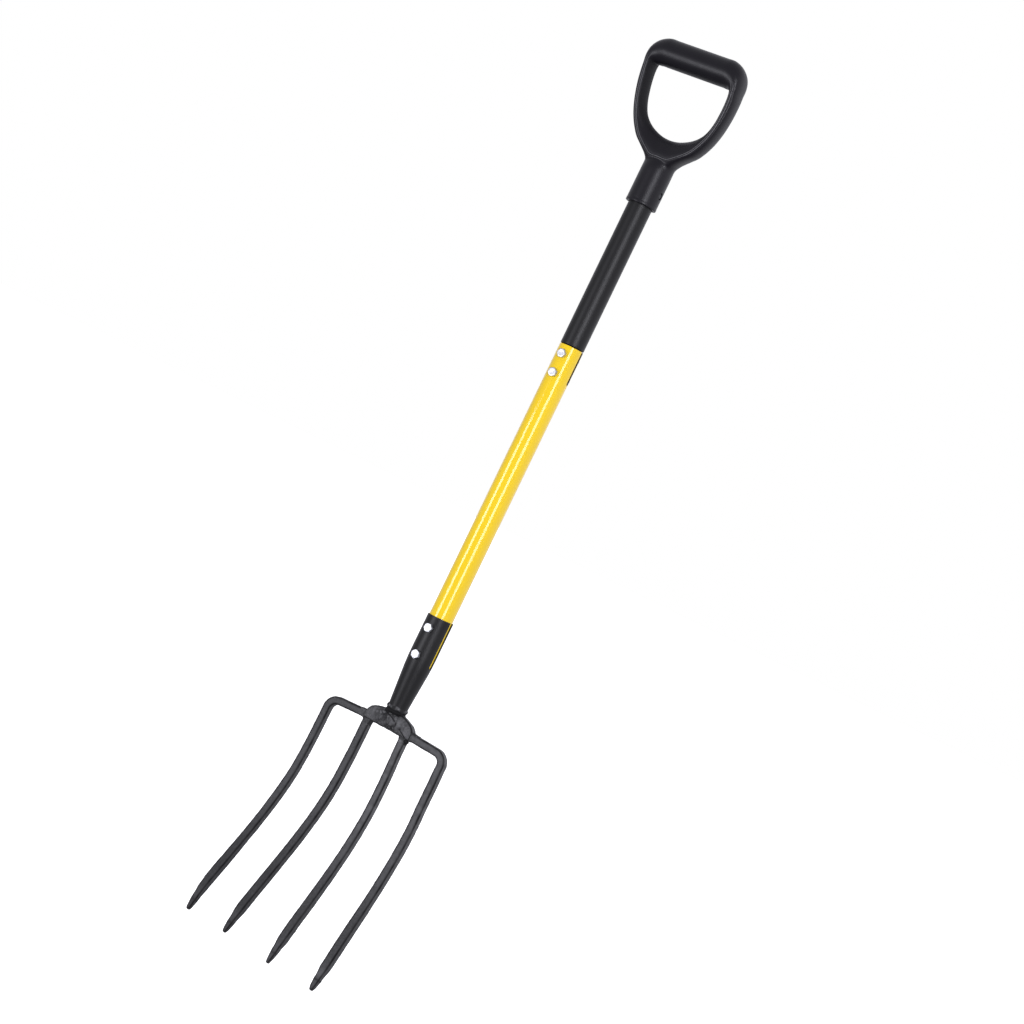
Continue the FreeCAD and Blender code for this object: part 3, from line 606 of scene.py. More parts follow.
# ------------------------------------------------------------------ welds
def ring_weld():
    """Bead round the neck: overlapping ripples of filler over an undercut, with painted highlight patches on the
    ripples, painted shade between them and on the undercut.
    """
    rings, marks, worn = [], [], []
    steps = 200
    for i in range(steps):
        a = 2 * math.pi * i / steps
        u = np.array([math.cos(a), math.sin(a), 0])
        beat = 0.5 + 0.5 * math.cos(a * 19 + 0.9 * math.sin(a * 3) + 0.5 * math.sin(a * 8 + 1))
        r0, out = 12.25, 1.30 * (0.72 + 0.34 * beat)
        low, high = -297.4 + 0.5 * math.sin(a * 7 + 2), -292.8 + 0.7 * math.sin(a * 5 + 1)
        mid = (low + high) / 2
        prof = [(r0 + 0.05, high), (r0 + 0.55 * out, high - 0.7), (r0 + 0.92 * out, mid + 0.9), (r0 + out, mid), (r0 + 0.90 * out, mid - 1.0),
                (r0 + 0.50 * out, low + 0.4), (r0 + 0.12, low), (r0 + 0.20, -298.6), (r0 + 0.75, -299.9), (r0 - 0.03, -299.9), (r0 - 0.03, -296.0)]
        rings.append(np.array([u * r + np.array([0, 0, z]) for r, z in prof]))
        # Painted shade between the painted highlight patches of the ripples; the lower points and the undercut get
        # painted shade.
        painted_shade_patch = 0.75 * (1 - min(1.0, max(0.0, 0.35 + 0.75 * math.sin(a * 7 + 2.2) + 0.3 * math.sin(a * 16 + 2))))
        marks.append([max(0.5, painted_shade_patch), max(0.1, painted_shade_patch), painted_shade_patch, painted_shade_patch, max(0.15, painted_shade_patch), 0.7, 1.0, 1.0, 0.9, 1.0, 1.0])
        painted_highlight_patch = min(1.0, max(0.0, 0.35 + 0.75 * math.sin(a * 7 + 2.2) + 0.3 * math.sin(a * 16 + 2)))
        worn.append([0.0, 0.4 * painted_highlight_patch, 0.9 * beat * painted_highlight_patch, 0.9 * beat * painted_highlight_patch, 0.2 * painted_highlight_patch, 0.0, 0.0, 0.0, 0.0, 0.0, 0.0])
    verts, faces = loft(rings, closed_path=True)
    return verts, faces, np.concatenate(marks), np.concatenate(worn)


v, f, marks, worn = ring_weld()
weld = make("neck_weld_bead", v, f, BEAD, "forged_steel", smooth=75, dark=marks, worn=worn)
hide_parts("neck_weld")


def root_weld(centre, along, seed, bar, length=7.0, flare=1.6):
    """Filler round a square bar where it leaves the crown, hollow like a fillet."""
    along = np.asarray(along, float)
    front = np.array([0, -1.0, 0])
    side = np.cross(along, front)
    rings = []
    for s in np.linspace(-0.08, 1.0, 16):
        half = bar / 2 + 0.10 + flare * (1 - max(s, 0.0)) ** 2.6
        sec = rounded_square(half, 1.2 + 1.0 * (1 - max(s, 0.0)), 5, 7)
        sec[:, 1] *= (bar / 2 + 0.10 + 0.35 * flare * (1 - max(s, 0.0)) ** 2.6) / half
        rings.append(np.asarray(centre) + along * (length * s) + sec[:, :1] * side + sec[:, 1:] * front)
    verts, faces = loft(rings)
    n = normals_of(verts, faces)
    depth = np.clip(((verts - np.asarray(centre)) @ along) / length, 0, 1)
    amount = (0.26 * value_noise(verts, 3.0, seed) + 0.22 * value_noise(verts, 5.5, seed + 4)) * (1 - depth)
    # Patchy darkening that fades away from the crown, and painted shade along the side edges of the bar.
    marks = np.clip(0.25 + 0.8 * value_noise(verts, 3.6, seed + 7), 0, 1) * (1 - depth)
    across = np.abs((verts - np.asarray(centre)) @ side) / (bar / 2)
    marks = np.maximum(marks, np.clip((across - 0.86) * 5, 0, 0.75))
    return verts + n * amount[:, None], faces, marks


beads = [
    root_weld((-34.3, 0, -318.25), (-1, 0, 0.035), 2.0, 9.6, 8.0, 1.1),
    root_weld((34.3, 0, -317.1), (1, 0, 0.03), 3.0, 9.5, 9.0, 1.2),
    root_weld((-28.9, 0, CROWN_BOTTOM + 0.4), (0, 0, -1), 4.0, 9.9, 7.0, 1.5),
    root_weld((25.7, 0, CROWN_BOTTOM + 0.4), (0, 0, -1), 5.0, 9.5, 7.0, 1.5),
]


def blob(centre, radii, seed):
    """Lump of filler left in a corner."""
    rings = []
    for i in range(1, 12):
        t = math.pi * i / 12
        a = np.arange(24) * 2 * math.pi / 24
        rings.append(np.asarray(centre) + np.stack([np.full(24, radii[0] * math.cos(t)), radii[1] * math.sin(t) * np.cos(a),
                                                    radii[2] * math.sin(t) * np.sin(a)], 1))
    c = np.asarray(centre, float)
    verts, faces = loft(rings, start=c + [radii[0], 0, 0], end=c - [radii[0], 0, 0])
    n = normals_of(verts, faces)
    # The lump is darkened near black: painted shade in the corner.
    return verts + n * (0.45 * value_noise(verts, 2.6, seed))[:, None], faces, np.full(len(verts), 0.92)


beads.append(blob((31.6, -3.8, -324.4), (3.8, 3.3, 2.7), 6.0))
v, f = join([(b[0], b[1]) for b in beads])
dark = np.concatenate([b[2] for b in beads])
# Painted glint on the front of the inner right tine's root.
bright = np.exp(-(np.linalg.norm(v - np.array([24.4, -5.6, -326.4]), axis=1) / 2.2) ** 2)
obj = make("tine_root_welds", v, f, BEAD, "forged_steel", smooth=75, dark=dark * (1 - bright), worn=bright)
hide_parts("tine_welds")


# ------------------------------------------------------------------ socket and tubes
def slotted_tube(zs, outer, inner, centre_deg, gap, slot_low, slot_high, cols=132):
    """A tube open along a slot between two heights; gap is the slot's width in mm."""
    rows = len(zs)
    middle = math.radians(centre_deg)
    grid_o, grid_i, is_open = [], [], []
    for z, r, ri in zip(zs, outer, inner):
        open_here = slot_low - 1e-6 <= z <= slot_high + 1e-6
        k = 1.0
        if open_here and slot_low > zs.min() + 1:
            k = math.sqrt(max(0.0, 1 - max(0.0, 1 - (z - slot_low) / (gap / 2)) ** 2))
        half = math.asin(gap / 2 / r) * k if open_here else 0.0
        a = np.linspace(middle + half, middle + 2 * math.pi - half, cols)
        ro = np.full(cols, float(r))
        if half > 1e-4:
            ro[0] -= 0.22
            ro[-1] -= 0.22
            # keep the columns beside the slot close, so its lips stay crisp
            a[1] = a[0] + 0.25 / r
            a[2] = a[0] + 0.7 / r
            a[-2] = a[-1] - 0.25 / r
            a[-3] = a[-1] - 0.7 / r
        grid_o.append(np.stack([ro * np.cos(a), ro * np.sin(a), np.full(cols, z)], 1))
        grid_i.append(np.stack([ri * np.cos(a), ri * np.sin(a), np.full(cols, z)], 1))
        is_open.append(half > 1e-4)
    verts = np.concatenate([np.concatenate(grid_o), np.concatenate(grid_i)])
    off = rows * cols
    faces = []
    for i in range(rows - 1):
        for j in range(cols - 1):
            a, b = i * cols + j, (i + 1) * cols + j
            faces.append((a, a + 1, b + 1, b))
            faces.append((off + a, off + b, off + b + 1, off + a + 1))
        if is_open[i] or is_open[i + 1]:
            for j in (0, cols - 1):
                a, b = i * cols + j, (i + 1) * cols + j
                quad = (a, b, off + b, off + a)
                faces.append(quad if j == 0 else quad[::-1])
    for i in (0, rows - 1):
        for j in range(cols - 1):
            a = i * cols + j
            quad = (a, off + a, off + a + 1, a + 1)
            faces.append(quad if i == 0 else quad[::-1])
    inside = np.zeros(len(verts))
    inside[off:] = 1
    for i in range(rows):
        if is_open[i]:
            inside[i * cols] = inside[i * cols + cols - 1] = 1
    return verts, faces, inside


# socket: rolled sheet with an open seam
prof_z = [-177.4, -200.0, -226.0, -231.0, -236.0, -243.0, -250.0, -262.0, -275.0, -287.0, -293.0, -299.9]
prof_r = [16.40, 16.40, 16.40, 16.36, 16.18, 15.85, 15.35, 14.45, 13.45, 12.55, 12.20, 12.20]
zs = np.concatenate([[-177.4, -177.46, -177.65, -178.0], np.arange(-179.5, -234.0, -1.5), [-234.4, -235.0, -235.6, -236.2, -236.7, -237.0],
                     np.arange(-238.5, -299.0, -1.5), [-299.9]])
outer = catmull(prof_z, prof_r, zs)
outer[:3] = [16.05, 16.27, 16.38]
v, f, inside = slotted_tube(zs, outer, np.minimum(outer, 16.4) - 1.2 + np.array([0.2] + [0.0] * (len(zs) - 1)), 1.4, 5.1, -237.0, 0.0)
obj = make("rolled_socket", v, f, BLACK, "black_paint", smooth=38)
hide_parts("socket")

# yellow tube: its top edge is rounded over, and the clamping slit runs down from it
zs = np.concatenate([[176.9, 176.84, 176.68, 176.4, 175.4], np.arange(174.0, 136.0, -2.0), [135.2, 134.6, 134.2, 133.9, 133.6, 133.5],
                     np.arange(128.0, -236.0, -7.0), [-237.6, -238.0]])
outer = np.full(len(zs), 15.0)
outer[:4] = [14.68, 14.86, 14.97, 15.0]
outer[-1] = 14.7
v, f, inside = slotted_tube(zs, outer, np.full(len(zs), 13.5), 13.0, 6.2, 133.5, 999.0)
# The bore and the slit walls are marked for painted shade.
obj = make("yellow_shaft_tube", v, f, YELLOW, "yellow_paint", smooth=38, dark=inside)
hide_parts("lower_tube")

# black tube: full size above the joint, swaged down inside the yellow one
profile = [(11.8, 116.0), (12.9, 116.0), (13.25, 116.6), (13.25, 177.2), (14.2, 177.65), (14.75, 178.05), (14.95, 178.6), (15.0, 179.4)]
profile += [(15.0, z) for z in np.arange(184.0, 411.0, 8.0)] + [(15.0, 411.4), (14.6, 412.0), (13.5, 412.0)]
profile += [(13.5, z) for z in np.arange(404.0, 182.0, -20.0)] + [(11.8, 176.0)]
v, f = loft(turned(profile, (0, 0, 0), (0, 0, 1), count=128), closed_path=True)
obj = make("black_shaft_tube", v, f, BLACK, "black_paint", smooth=38)
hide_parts("upper_tube")


# ------------------------------------------------------------------ bolts
def hex_ring(centre, axis_y, across, y, count=48, clip=None):
    """Hexagon outline sampled at count angles, optionally clipped to a circle."""
    out = []
    apothem = across / 2
    for i in range(count):
        a = 2 * math.pi * i / count
        local = (a + math.pi / 6) % (math.pi / 3) - math.pi / 6
        r = apothem / math.cos(local)
        if clip is not None:
            r = min(r, clip)
        out.append((centre[0] + r * math.sin(a), y, centre[2] + r * math.cos(a)))
    return np.array(out)


def hex_head(centre, base, top, across=10.0, turn=0.0, washer_face=False):
    """Hex head or nut body from y=base to y=top, corners chamfered at the top."""
    sgn = math.copysign(1, top - base)
    corner = across / 2 / math.cos(math.pi / 6)
    rows = [hex_ring(centre, 0, across, base, clip=corner - (0.35 if washer_face else 0.0))]
    if washer_face:
        rows.append(hex_ring(centre, 0, across, base + sgn * 0.25))
    height = abs(top - base)
    for clip, h in ((corner, height - 0.75), (corner - 0.25, height - 0.42), (corner - 0.55, height - 0.14), (across / 2 - 0.35, height)):
        rows.append(hex_ring(centre, 0, across, base + sgn * h, clip=clip))
    if turn:
        c, s = math.cos(turn), math.sin(turn)
        for r in rows:
            x, z = r[:, 0] - centre[0], r[:, 2] - centre[2]
            r[:, 0], r[:, 2] = centre[0] + x * c - z * s, centre[2] + x * s + z * c
    return rows


def thread(centre, start, stop, radius=3.0, pitch=1.0, depth=0.55, count=28):
    """Rings of a helical thread from y=start to y=stop."""
    n = max(4, int(abs(stop - start) / pitch * 8))
    rows = []
    for i in range(n + 1):
        y = start + (stop - start) * i / n
        ring = []
        for k in range(count):
            a = 2 * math.pi * k / count
            phase = ((y - start) / pitch + k / count) % 1.0
            wave = abs(phase * 2 - 1)
            end = min(1.0, abs(stop - y) / 0.8)
            r = radius - depth * (1 - wave) * 0.95 - 0.5 * (1 - end)
            ring.append((centre[0] + r * math.sin(a), y, centre[2] + r * math.cos(a)))
        rows.append(np.array(ring))
    return rows


SETS = {"socket": (16.4, (-192.8, -227.1)), "joint": (15.0, (165.5, 140.9))}
TURNS = {"socket": (0.20, -0.35), "joint": (0.10, 0.42)}
for prefix, (surface, heights) in SETS.items():
    bolts, flats, locks, nuts = [], [], [], []
    for k, z in enumerate(heights):
        c = (0.0, 0.0, z)
        turn = TURNS[prefix][k]
        rows = hex_head(c, -surface + 0.02, -surface - 4.0, turn=turn)
        # shallow dish in the top of the head
        inner = [hex_ring(c, 0, 10.0, -surface - 3.98, clip=3.5), hex_ring(c, 0, 10.0, -surface - 3.90, clip=2.6)]
        bolts.append(loft(rows + inner, end=(0, -surface - 3.88, z)))
        back = surface + 1.5 + 1.6 + 5.0
        shank = [hex_ring(c, 0, 40, y, count=28, clip=3.0) for y in (-surface + 0.4, back - 6.5)]
        bolts.append(loft(shank + thread(c, back - 6.4, back + 2.4)))
        flats.append(loft(turned([(3.25, 0.0), (5.75, 0.0), (6.0, 0.25), (6.0, 1.25), (5.75, 1.5), (3.25, 1.5)],
                                 (0, surface, z), (0, 1, 0)), closed_path=True))
        # split spring ring: a square wire through most of a turn, its ends offset
        rings = []
        for i in range(61):
            a = math.radians(7 + 346 * i / 60)
            lift = 0.55 * (i / 60 - 0.5)
            u = np.array([math.sin(a), 0, math.cos(a)])
            mid = np.array([0, surface + 1.5 + 0.8 + lift * 0.45, z])
            ring = [mid + u * r + np.array([0, h, 0]) for r, h in
                    ((3.3, -0.5), (3.45, -0.62), (5.25, -0.55), (5.4, -0.42), (5.4, 0.42), (5.25, 0.55), (3.45, 0.62), (3.3, 0.5))]
            rings.append(np.array(ring))
        locks.append(loft(rings))
        y0, y1 = surface + 3.1, surface + 8.1
        outer = hex_head(c, y0, y1, turn=turn + 0.2, washer_face=True)
        bore = [hex_ring(c, 0, 60, y1 - 0.02, clip=3.45), hex_ring(c, 0, 60, y1 - 0.5, clip=3.06),
                hex_ring(c, 0, 60, y0 + 0.5, clip=3.06), hex_ring(c, 0, 60, y0 + 0.02, clip=3.45)]
        nuts.append(loft(outer + bore, closed_path=True))
    for word, group, node in (("hex_bolts", bolts, "bolts"), ("plain_washers", flats, "flat_washers"),
                              ("spring_washers", locks, "lock_washers"), ("hex_nuts", nuts, "nuts")):
        v, f = join(group)
        obj = make(prefix + "_" + word, v, f, ZINC, "zinc", smooth=32)
        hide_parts(prefix + "_" + node)

# ------------------------------------------------------------------ D-handle
GR, GH = 16.8, 124.1
FD = 12.8
# outer point, inner point, share across of the front rim, half depth,
# squareness of the outer corner at the back, how far the section is round
RING = [
    ((0.0, -9.0), (0.0, 29.4), 0.40, FD + 2.4, 2.2, 0.0),
    ((13.0, -7.0), (7.0, 29.9), 0.36, FD + 2.3, 2.2, 0.0),
    ((22.5, 4.5), (14.0, 31.4), 0.26, FD + 2.0, 2.2, 0.0),
    ((32.0, 13.0), (21.6, 34.2), 0.25, FD + 1.3, 2.2, 0.0),
    ((40.4, 20.0), (28.7, 37.8), 0.30, FD + 0.6, 2.2, 0.0),
    ((47.6, 29.4), (35.6, 42.8), 0.36, FD + 0.2, 2.2, 0.0),
    ((53.6, 40.2), (42.0, 49.6), 0.41, FD, 2.2, 0.0),
    ((58.0, 51.0), (46.6, 57.6), 0.46, FD, 2.2, 0.0),
    ((62.0, 64.5), (50.0, 67.5), 0.50, FD, 2.2, 0.0),
    ((65.2, 80.0), (52.2, 80.5), 0.53, FD, 2.2, 0.0),
    ((66.5, 94.0), (53.4, 92.5), 0.54, FD + 0.3, 2.4, 0.0),
    ((66.3, 105.0), (53.9, 100.6), 0.54, FD + 1.2, 2.6, 0.10),
    ((66.4, 116.2), (52.6, 105.2), 0.52, FD + 2.2, 3.0, 0.35),
    ((63.6, 127.0), (49.6, 106.9), 0.51, FD + 3.2, 3.2, 0.65),
    ((56.2, 135.8), (45.5, 107.0), 0.50, GR - 0.5, 2.8, 0.90),
    ((45.0, GH + GR - 0.2), (41.5, GH - GR + 0.1), 0.50, GR, 2.1, 1.0),
    ((32.0, GH + GR), (32.0, GH - GR), 0.50, GR, 2.0, 1.0),
    ((0.0, GH + GR), (0.0, GH - GR), 0.50, GR, 2.0, 1.0),
]


def half_profile(width, frac, depth, power, morph, square):
    """Points (across 0..1, depth) from the outer edge to the inner edge."""
    band = 3.3 / width / 2
    lift = 0.60 * (1 - min(1.0, morph * 1.35))
    s1, s2 = frac - band * (1 + 1.2 * morph), frac + band * (1 + 1.2 * morph)
    pts = []
    n1, n2 = 15, 15
    for k in range(n1):
        a = math.pi / 2 * k / (n1 - 1)
        c, q = math.cos(a) ** (2 / square), math.sin(a) ** (2 / square)
        pts.append((s1 * (1 - c), (depth - lift) * q))
    e = 0.45 / width
    pts += [(s1 + e, depth), (s1 + 2 * e, depth), (frac, depth - 0.75 * lift), (s2 - 2 * e, depth), (s2 - e, depth)]
    for k in range(n2):
        a = math.pi / 2 * (1 - k / (n2 - 1))
        c, q = math.cos(a) ** (2 / power), math.sin(a) ** (2 / power)
        pts.append((s2 + (1 - s2) * c, (depth - lift) * q))
    pts = np.array(pts)
    # the same number of points round a half circle
    a = np.linspace(0, math.pi, len(pts))
    circle = np.stack([0.5 - 0.5 * np.cos(a), depth * np.sin(a)], 1)
    return pts * (1 - morph) + circle * morph


def handle_ring():
    rows = []
    for (ox, oz), (ix, iz), frac, depth, square, morph in RING:
        rows.append([ox, oz, ix, iz, frac, depth, square, morph])
    right = np.array(rows)
    left = right[1:-1][::-1].copy()
    left[:, 0] *= -1
    left[:, 2] *= -1
    full = np.concatenate([right, left])
    n = len(full)
    padded = np.concatenate([full[-3:], full, full[:4]])
    idx = np.arange(-3, n + 4)
    t = np.arange(0, n, 1 / 9.0)
    table = catmull(idx, padded, t)
    rings = []
    for ox, oz, ix, iz, frac, depth, square, morph in table:
        morph = min(1.0, max(0.0, morph))
        o, i = np.array([ox, 0, oz]), np.array([ix, 0, iz])
        width = np.linalg.norm(i - o)
        front = half_profile(width, frac, depth, 1.62, morph, 2.25)
        back = half_profile(width, frac, depth, 1.62, morph, max(2.25, square))
        loop = [o + (i - o) * s + np.array([0, -d, 0]) for s, d in front]
        loop += [o + (i - o) * s + np.array([0, d, 0]) for s, d in back[::-1][1:-1]]
        rings.append(np.array(loop))
    return rings, np.clip(1 - table[:, 7] * 1.6, 0, 1)


PITCH, SHIFT, PIVOT = math.radians(11.2), 0.8, 418.0


def pitched(v):
    c, s = math.cos(PITCH), math.sin(PITCH)
    out = v.copy()
    out[:, 0] = v[:, 0] + SHIFT
    out[:, 1] = v[:, 1] * c - v[:, 2] * s
    out[:, 2] = v[:, 1] * s + v[:, 2] * c + PIVOT
    return out


def temp_object(name, verts, faces):
    mesh = bpy.data.meshes.new(name)
    mesh.from_pydata([tuple(v) for v in (np.asarray(verts, float) * MM).tolist()], [], [tuple(f) for f in faces])
    obj = bpy.data.objects.new(name, mesh)
    bpy.context.scene.collection.objects.link(obj)
    bm = bmesh.new()
    bm.from_mesh(mesh)
    bmesh.ops.remove_doubles(bm, verts=bm.verts, dist=1e-7)
    bmesh.ops.recalc_face_normals(bm, faces=bm.faces)
    bm.to_mesh(mesh)
    bm.free()
    return obj


def baked(obj, name):
    """A new mesh object from obj with its modifiers applied; obj is removed."""
    dg = bpy.context.evaluated_depsgraph_get()
    mesh = bpy.data.meshes.new_from_object(obj.evaluated_get(dg))
    mesh.name = name
    old = obj.data
    bpy.data.objects.remove(obj)
    bpy.data.meshes.remove(old)
    out = bpy.data.objects.new(name, mesh)
    bpy.context.scene.collection.objects.link(out)
    return out


def handle_mesh():
    sections, plain = handle_ring()
    ring, rf = loft(sections, closed_path=True)
    ring = pitched(ring)
    collar = turned([(15.4, 363.2), (18.9, 363.2), (19.35, 363.7), (19.45, 364.6), (19.4, 366.2), (19.2, 367.4), (19.25, 369.5),
                     (19.2, 404.0)], (0, 0, 0), (0, 0, 1), count=96)
    ang = np.arange(96) * 2 * math.pi / 96
    side = collar[0][0] - np.array([0, 0, 363.2])
    first = math.atan2(side[1], side[0])
    turn = math.atan2(collar[0][1][1], collar[0][1][0]) - first
    way = 1.0 if math.sin(turn) > 0 else -1.0
    for z in np.arange(407.0, 437.0, 1.5):
        rx = float(np.interp(z, [404, 409, 413, 417, 420, 423, 426, 429, 433, 437], [19.2, 19.2, 19.3, 19.8, 21.2, 23.4, 25.8, 28.0, 28.0, 24.0]))
        ry = float(np.interp(z, [404, 409, 413, 417, 420, 423, 426, 430, 437], [19.2, 19.0, 18.3, 17.0, 15.5, 13.8, 11.8, 8.5, 4.0]))
        a = first + way * ang
        collar.append(np.stack([rx * np.cos(a), ry * np.sin(a), np.full(96, z)], 1))
    cv, cf = loft(collar)
    v, f = join([(ring, rf), (cv, cf)])
    obj = temp_object("handle_blank", v, f)
    m = obj.modifiers.new("remesh", "REMESH")
    m.mode = "VOXEL"
    m.voxel_size = 0.44 * MM
    m.adaptivity = 0.0
    obj = baked(obj, "handle_blank2")
    # soften the meeting of the neck and the D, and take off the voxel steps
    mesh = obj.data
    count = len(mesh.vertices)
    co = np.empty(count * 3)
    mesh.vertices.foreach_get("co", co)
    co = co.reshape(-1, 3) / MM
    edges = np.empty(len(mesh.edges) * 2, int)
    mesh.edges.foreach_get("vertices", edges)
    edges = edges.reshape(-1, 2)
    degree = np.bincount(edges.ravel(), minlength=count).astype(float)

    def relax(p, amount):
        total = np.zeros_like(p)
        for k in range(3):
            total[:, k] = (np.bincount(edges[:, 0], weights=p[edges[:, 1], k], minlength=count)
                           + np.bincount(edges[:, 1], weights=p[edges[:, 0], k], minlength=count))
        return p + (total / degree[:, None] - p) * amount[:, None]

    radial = np.hypot(co[:, 0], co[:, 1])
    local_z = -co[:, 1] * math.sin(PITCH) + (co[:, 2] - PIVOT) * math.cos(PITCH)
    rim_z = np.interp(np.abs(co[:, 0] - SHIFT), [0, 10, 20, 30, 40], [6.2, 6.6, 9.8, 15.8, 26.0])
    neck = np.exp(-((co[:, 2] - 417.0) / 8.5) ** 2) * np.clip((40 - radial) / 8, 0, 1) * np.clip((rim_z - 1.5 - local_z) / 3.0, 0, 1)
    for _ in range(4):
        co = relax(co, np.full(count, 0.5))
        co = relax(co, np.full(count, -0.52))
    for _ in range(90):
        co = relax(co, neck * 0.6)
    mesh.vertices.foreach_set("co", (co * MM).ravel())
    mesh.update()
    # bore, and the two screw recesses
    cuts = [turned([(15.75, 361.0), (15.75, 363.4), (15.15, 364.0), (15.15, 413.0)], (0, 0, 0), (0, 0, 1), count=96)]
    for sgn in (1, -1):
        cuts.append(turned([(4.2, 16.65), (4.2, 19.0), (4.6, 19.6), (5.0, 22.0)], (0, 0, 381.7), (sgn, 0, 0), count=40))
        cuts.append(turned([(2.05, 12.0), (2.05, 17.0)], (0, 0, 381.7), (sgn, 0, 0), count=24))
    for k, rings in enumerate(cuts):
        cv, cf = loft(rings)
        tool = temp_object("cut%d" % k, cv, cf)
        b = obj.modifiers.new("cut%d" % k, "BOOLEAN")
        b.operation = "DIFFERENCE"
        b.solver = "EXACT"
        b.object = tool
        tool.hide_render = True
    tools = [m.object for m in obj.modifiers]
    obj = baked(obj, "d_handle_moulding")
    for tool in tools:
        mesh = tool.data
        bpy.data.objects.remove(tool)
        bpy.data.meshes.remove(mesh)
    paint_rim_highlights_and_shade(obj.data, sections, plain)
    return obj


def paint_rim_highlights_and_shade(mesh, rings, plain):
    """Marks the two ridges of the front rim with painted highlights and the valley between them with painted shade."""
    stack = np.stack([np.asarray(r) for r in rings])
    n = len(stack)
    count = len(mesh.vertices)
    co = np.empty(count * 3)
    mesh.vertices.foreach_get("co", co)
    co = co.reshape(-1, 3) / MM
    ly = co[:, 1] * math.cos(PITCH) + (co[:, 2] - PIVOT) * math.sin(PITCH)
    near = np.flatnonzero((ly < -9.0) & (co[:, 2] > 415.0))
    marks = {}
    for key, (a, b), width in (("outer", (15, 16), 0.50), ("inner", (18, 19), 0.50), ("valley", (17, 17), 0.85)):
        line = (stack[:, a] + stack[:, b]) / 2
        steps = 6
        dense, strong = [], []
        for k in range(n):
            for i in range(steps):
                t = i / steps
                dense.append(line[k] * (1 - t) + line[(k + 1) % n] * t)
                strong.append(plain[k] * (1 - t) + plain[(k + 1) % n] * t)
        dense = pitched(np.array(dense))
        tree = KDTree(len(dense))
        for i, q in enumerate(dense.tolist()):
            tree.insert(q, i)
        tree.balance()
        found = [tree.find(q) for q in co[near].tolist()]
        far = np.array([f[2] for f in found])
        level = np.array(strong)[[f[1] for f in found]]
        marks[key] = np.exp(-(far / width) ** 2) * level
    low = np.clip((co[near, 2] - 424.0) / 12.0, 0.30, 1)
    worn = np.zeros(count)
    dark = np.zeros(count)
    worn[near] = np.maximum(0.85 * marks["outer"] * low, 0.70 * marks["inner"])
    dark[near] = 0.8 * marks["valley"] * (1 - np.clip(worn[near] * 1.5, 0, 1))
    # the faces of the two arms towards the hand opening get painted shade: darker and rougher
    normal = np.empty(count * 3)
    mesh.vertices.foreach_get("normal", normal)
    inward = -normal.reshape(-1, 3)[:, 0] * np.sign(co[:, 0])
    inside = np.clip((inward - 0.35) / 0.4, 0, 1) * np.clip((np.abs(co[:, 0]) - 20.0) / 10.0, 0, 1)
    inside *= np.clip((co[:, 2] - 425.0) / 15.0, 0, 1) * np.clip((535.0 - co[:, 2]) / 12.0, 0, 1)
    dark = np.maximum(dark, 0.6 * inside * (1 - np.clip(worn * 1.5, 0, 1)))
    for key, values in (("worn", worn), ("dark", dark)):
        layer = mesh.attributes.new(key, "FLOAT", "POINT")
        layer.data.foreach_set("value", np.clip(values, 0, 1))


handle = handle_mesh()
finish_mesh(handle, 48)
handle.data.materials.clear()
handle.data.materials.append(PLASTIC)
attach(handle, "root")
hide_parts("d_handle")


# ------------------------------------------------------------------ screws
def pan_screw(sgn):
    x0 = 19.25 - 2.6
    head = [(0.01, -8.5), (0.6, -7.9), (1.3, -6.2), (1.9, -5.0), (1.9, 0.0), (3.7, 0.0), (3.7, 0.7), (3.45, 1.25), (2.9, 1.65), (2.0, 1.85), (1.5, 1.9)]
    rings = turned(head, (sgn * x0, 0, 381.7), (sgn, 0, 0), count=32)
    # cross recess: the last ring becomes a cross that sinks in
    axis = np.array([sgn, 0, 0.0])
    side = np.cross(axis, [0, 0, 1.0])
    other = np.cross(axis, side)
    base = np.array([sgn * x0, 0, 381.7])
    for depth, scale in ((1.85, 1.0), (1.0, 0.8), (0.5, 0.45)):
        ring = []
        for i in range(32):
            a = 2 * math.pi * i / 32
            arm = max(abs(math.cos(a)), abs(math.sin(a)))
            lean = min(abs(math.cos(a)), abs(math.sin(a)))
            r = min(1.55, 0.36 / max(lean, 0.2)) * scale
            ring.append(base + axis * depth + r * (math.cos(a) * side + math.sin(a) * other))
        rings.append(np.array(ring))
    return loft(rings)


v, f = join([pan_screw(1), pan_screw(-1)])
screws = make("collar_screws", v, f, SCREW, "screw_steel", smooth=35)
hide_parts("handle_screws")

# ------------------------------------------------------------------ stage
floor_z = -0.6185


def floor_material():
    m, t, p = nodes_of("pale_floor")
    v = coords(t)
    t.links.new(ramp(t, noise(t, v, 2.0), [(0.3, (0.86, 0.86, 0.86)), (0.7, (0.88, 0.88, 0.88))]), p.inputs["Base Color"])
    p.inputs["Roughness"].default_value = 0.9
    p.inputs["Emission Color"].default_value = (1, 1, 1, 1)
    p.inputs["Emission Strength"].default_value = 0.85
    return m


floor_mesh = bpy.data.meshes.new("studio_floor")
R = 60.0
floor_mesh.from_pydata([(-R, -R, floor_z), (R, -R, floor_z), (R, R, floor_z), (-R, R, floor_z)], [], [(0, 1, 2, 3)])
floor = bpy.data.objects.new("studio_floor", floor_mesh)
bpy.context.scene.collection.objects.link(floor)
floor_mesh.materials.append(floor_material())
floor.visible_diffuse = False
floor.visible_glossy = False

# ------------------------------------------------------------------ light
AZ = math.radians(28.027)
BACK = Vector((math.sin(AZ), -math.cos(AZ), 0))
RIGHT = Vector((math.cos(AZ), math.sin(AZ), 0))
UP = Vector((0, 0, 1))


TINT = (0.985, 0.985, 1.06)


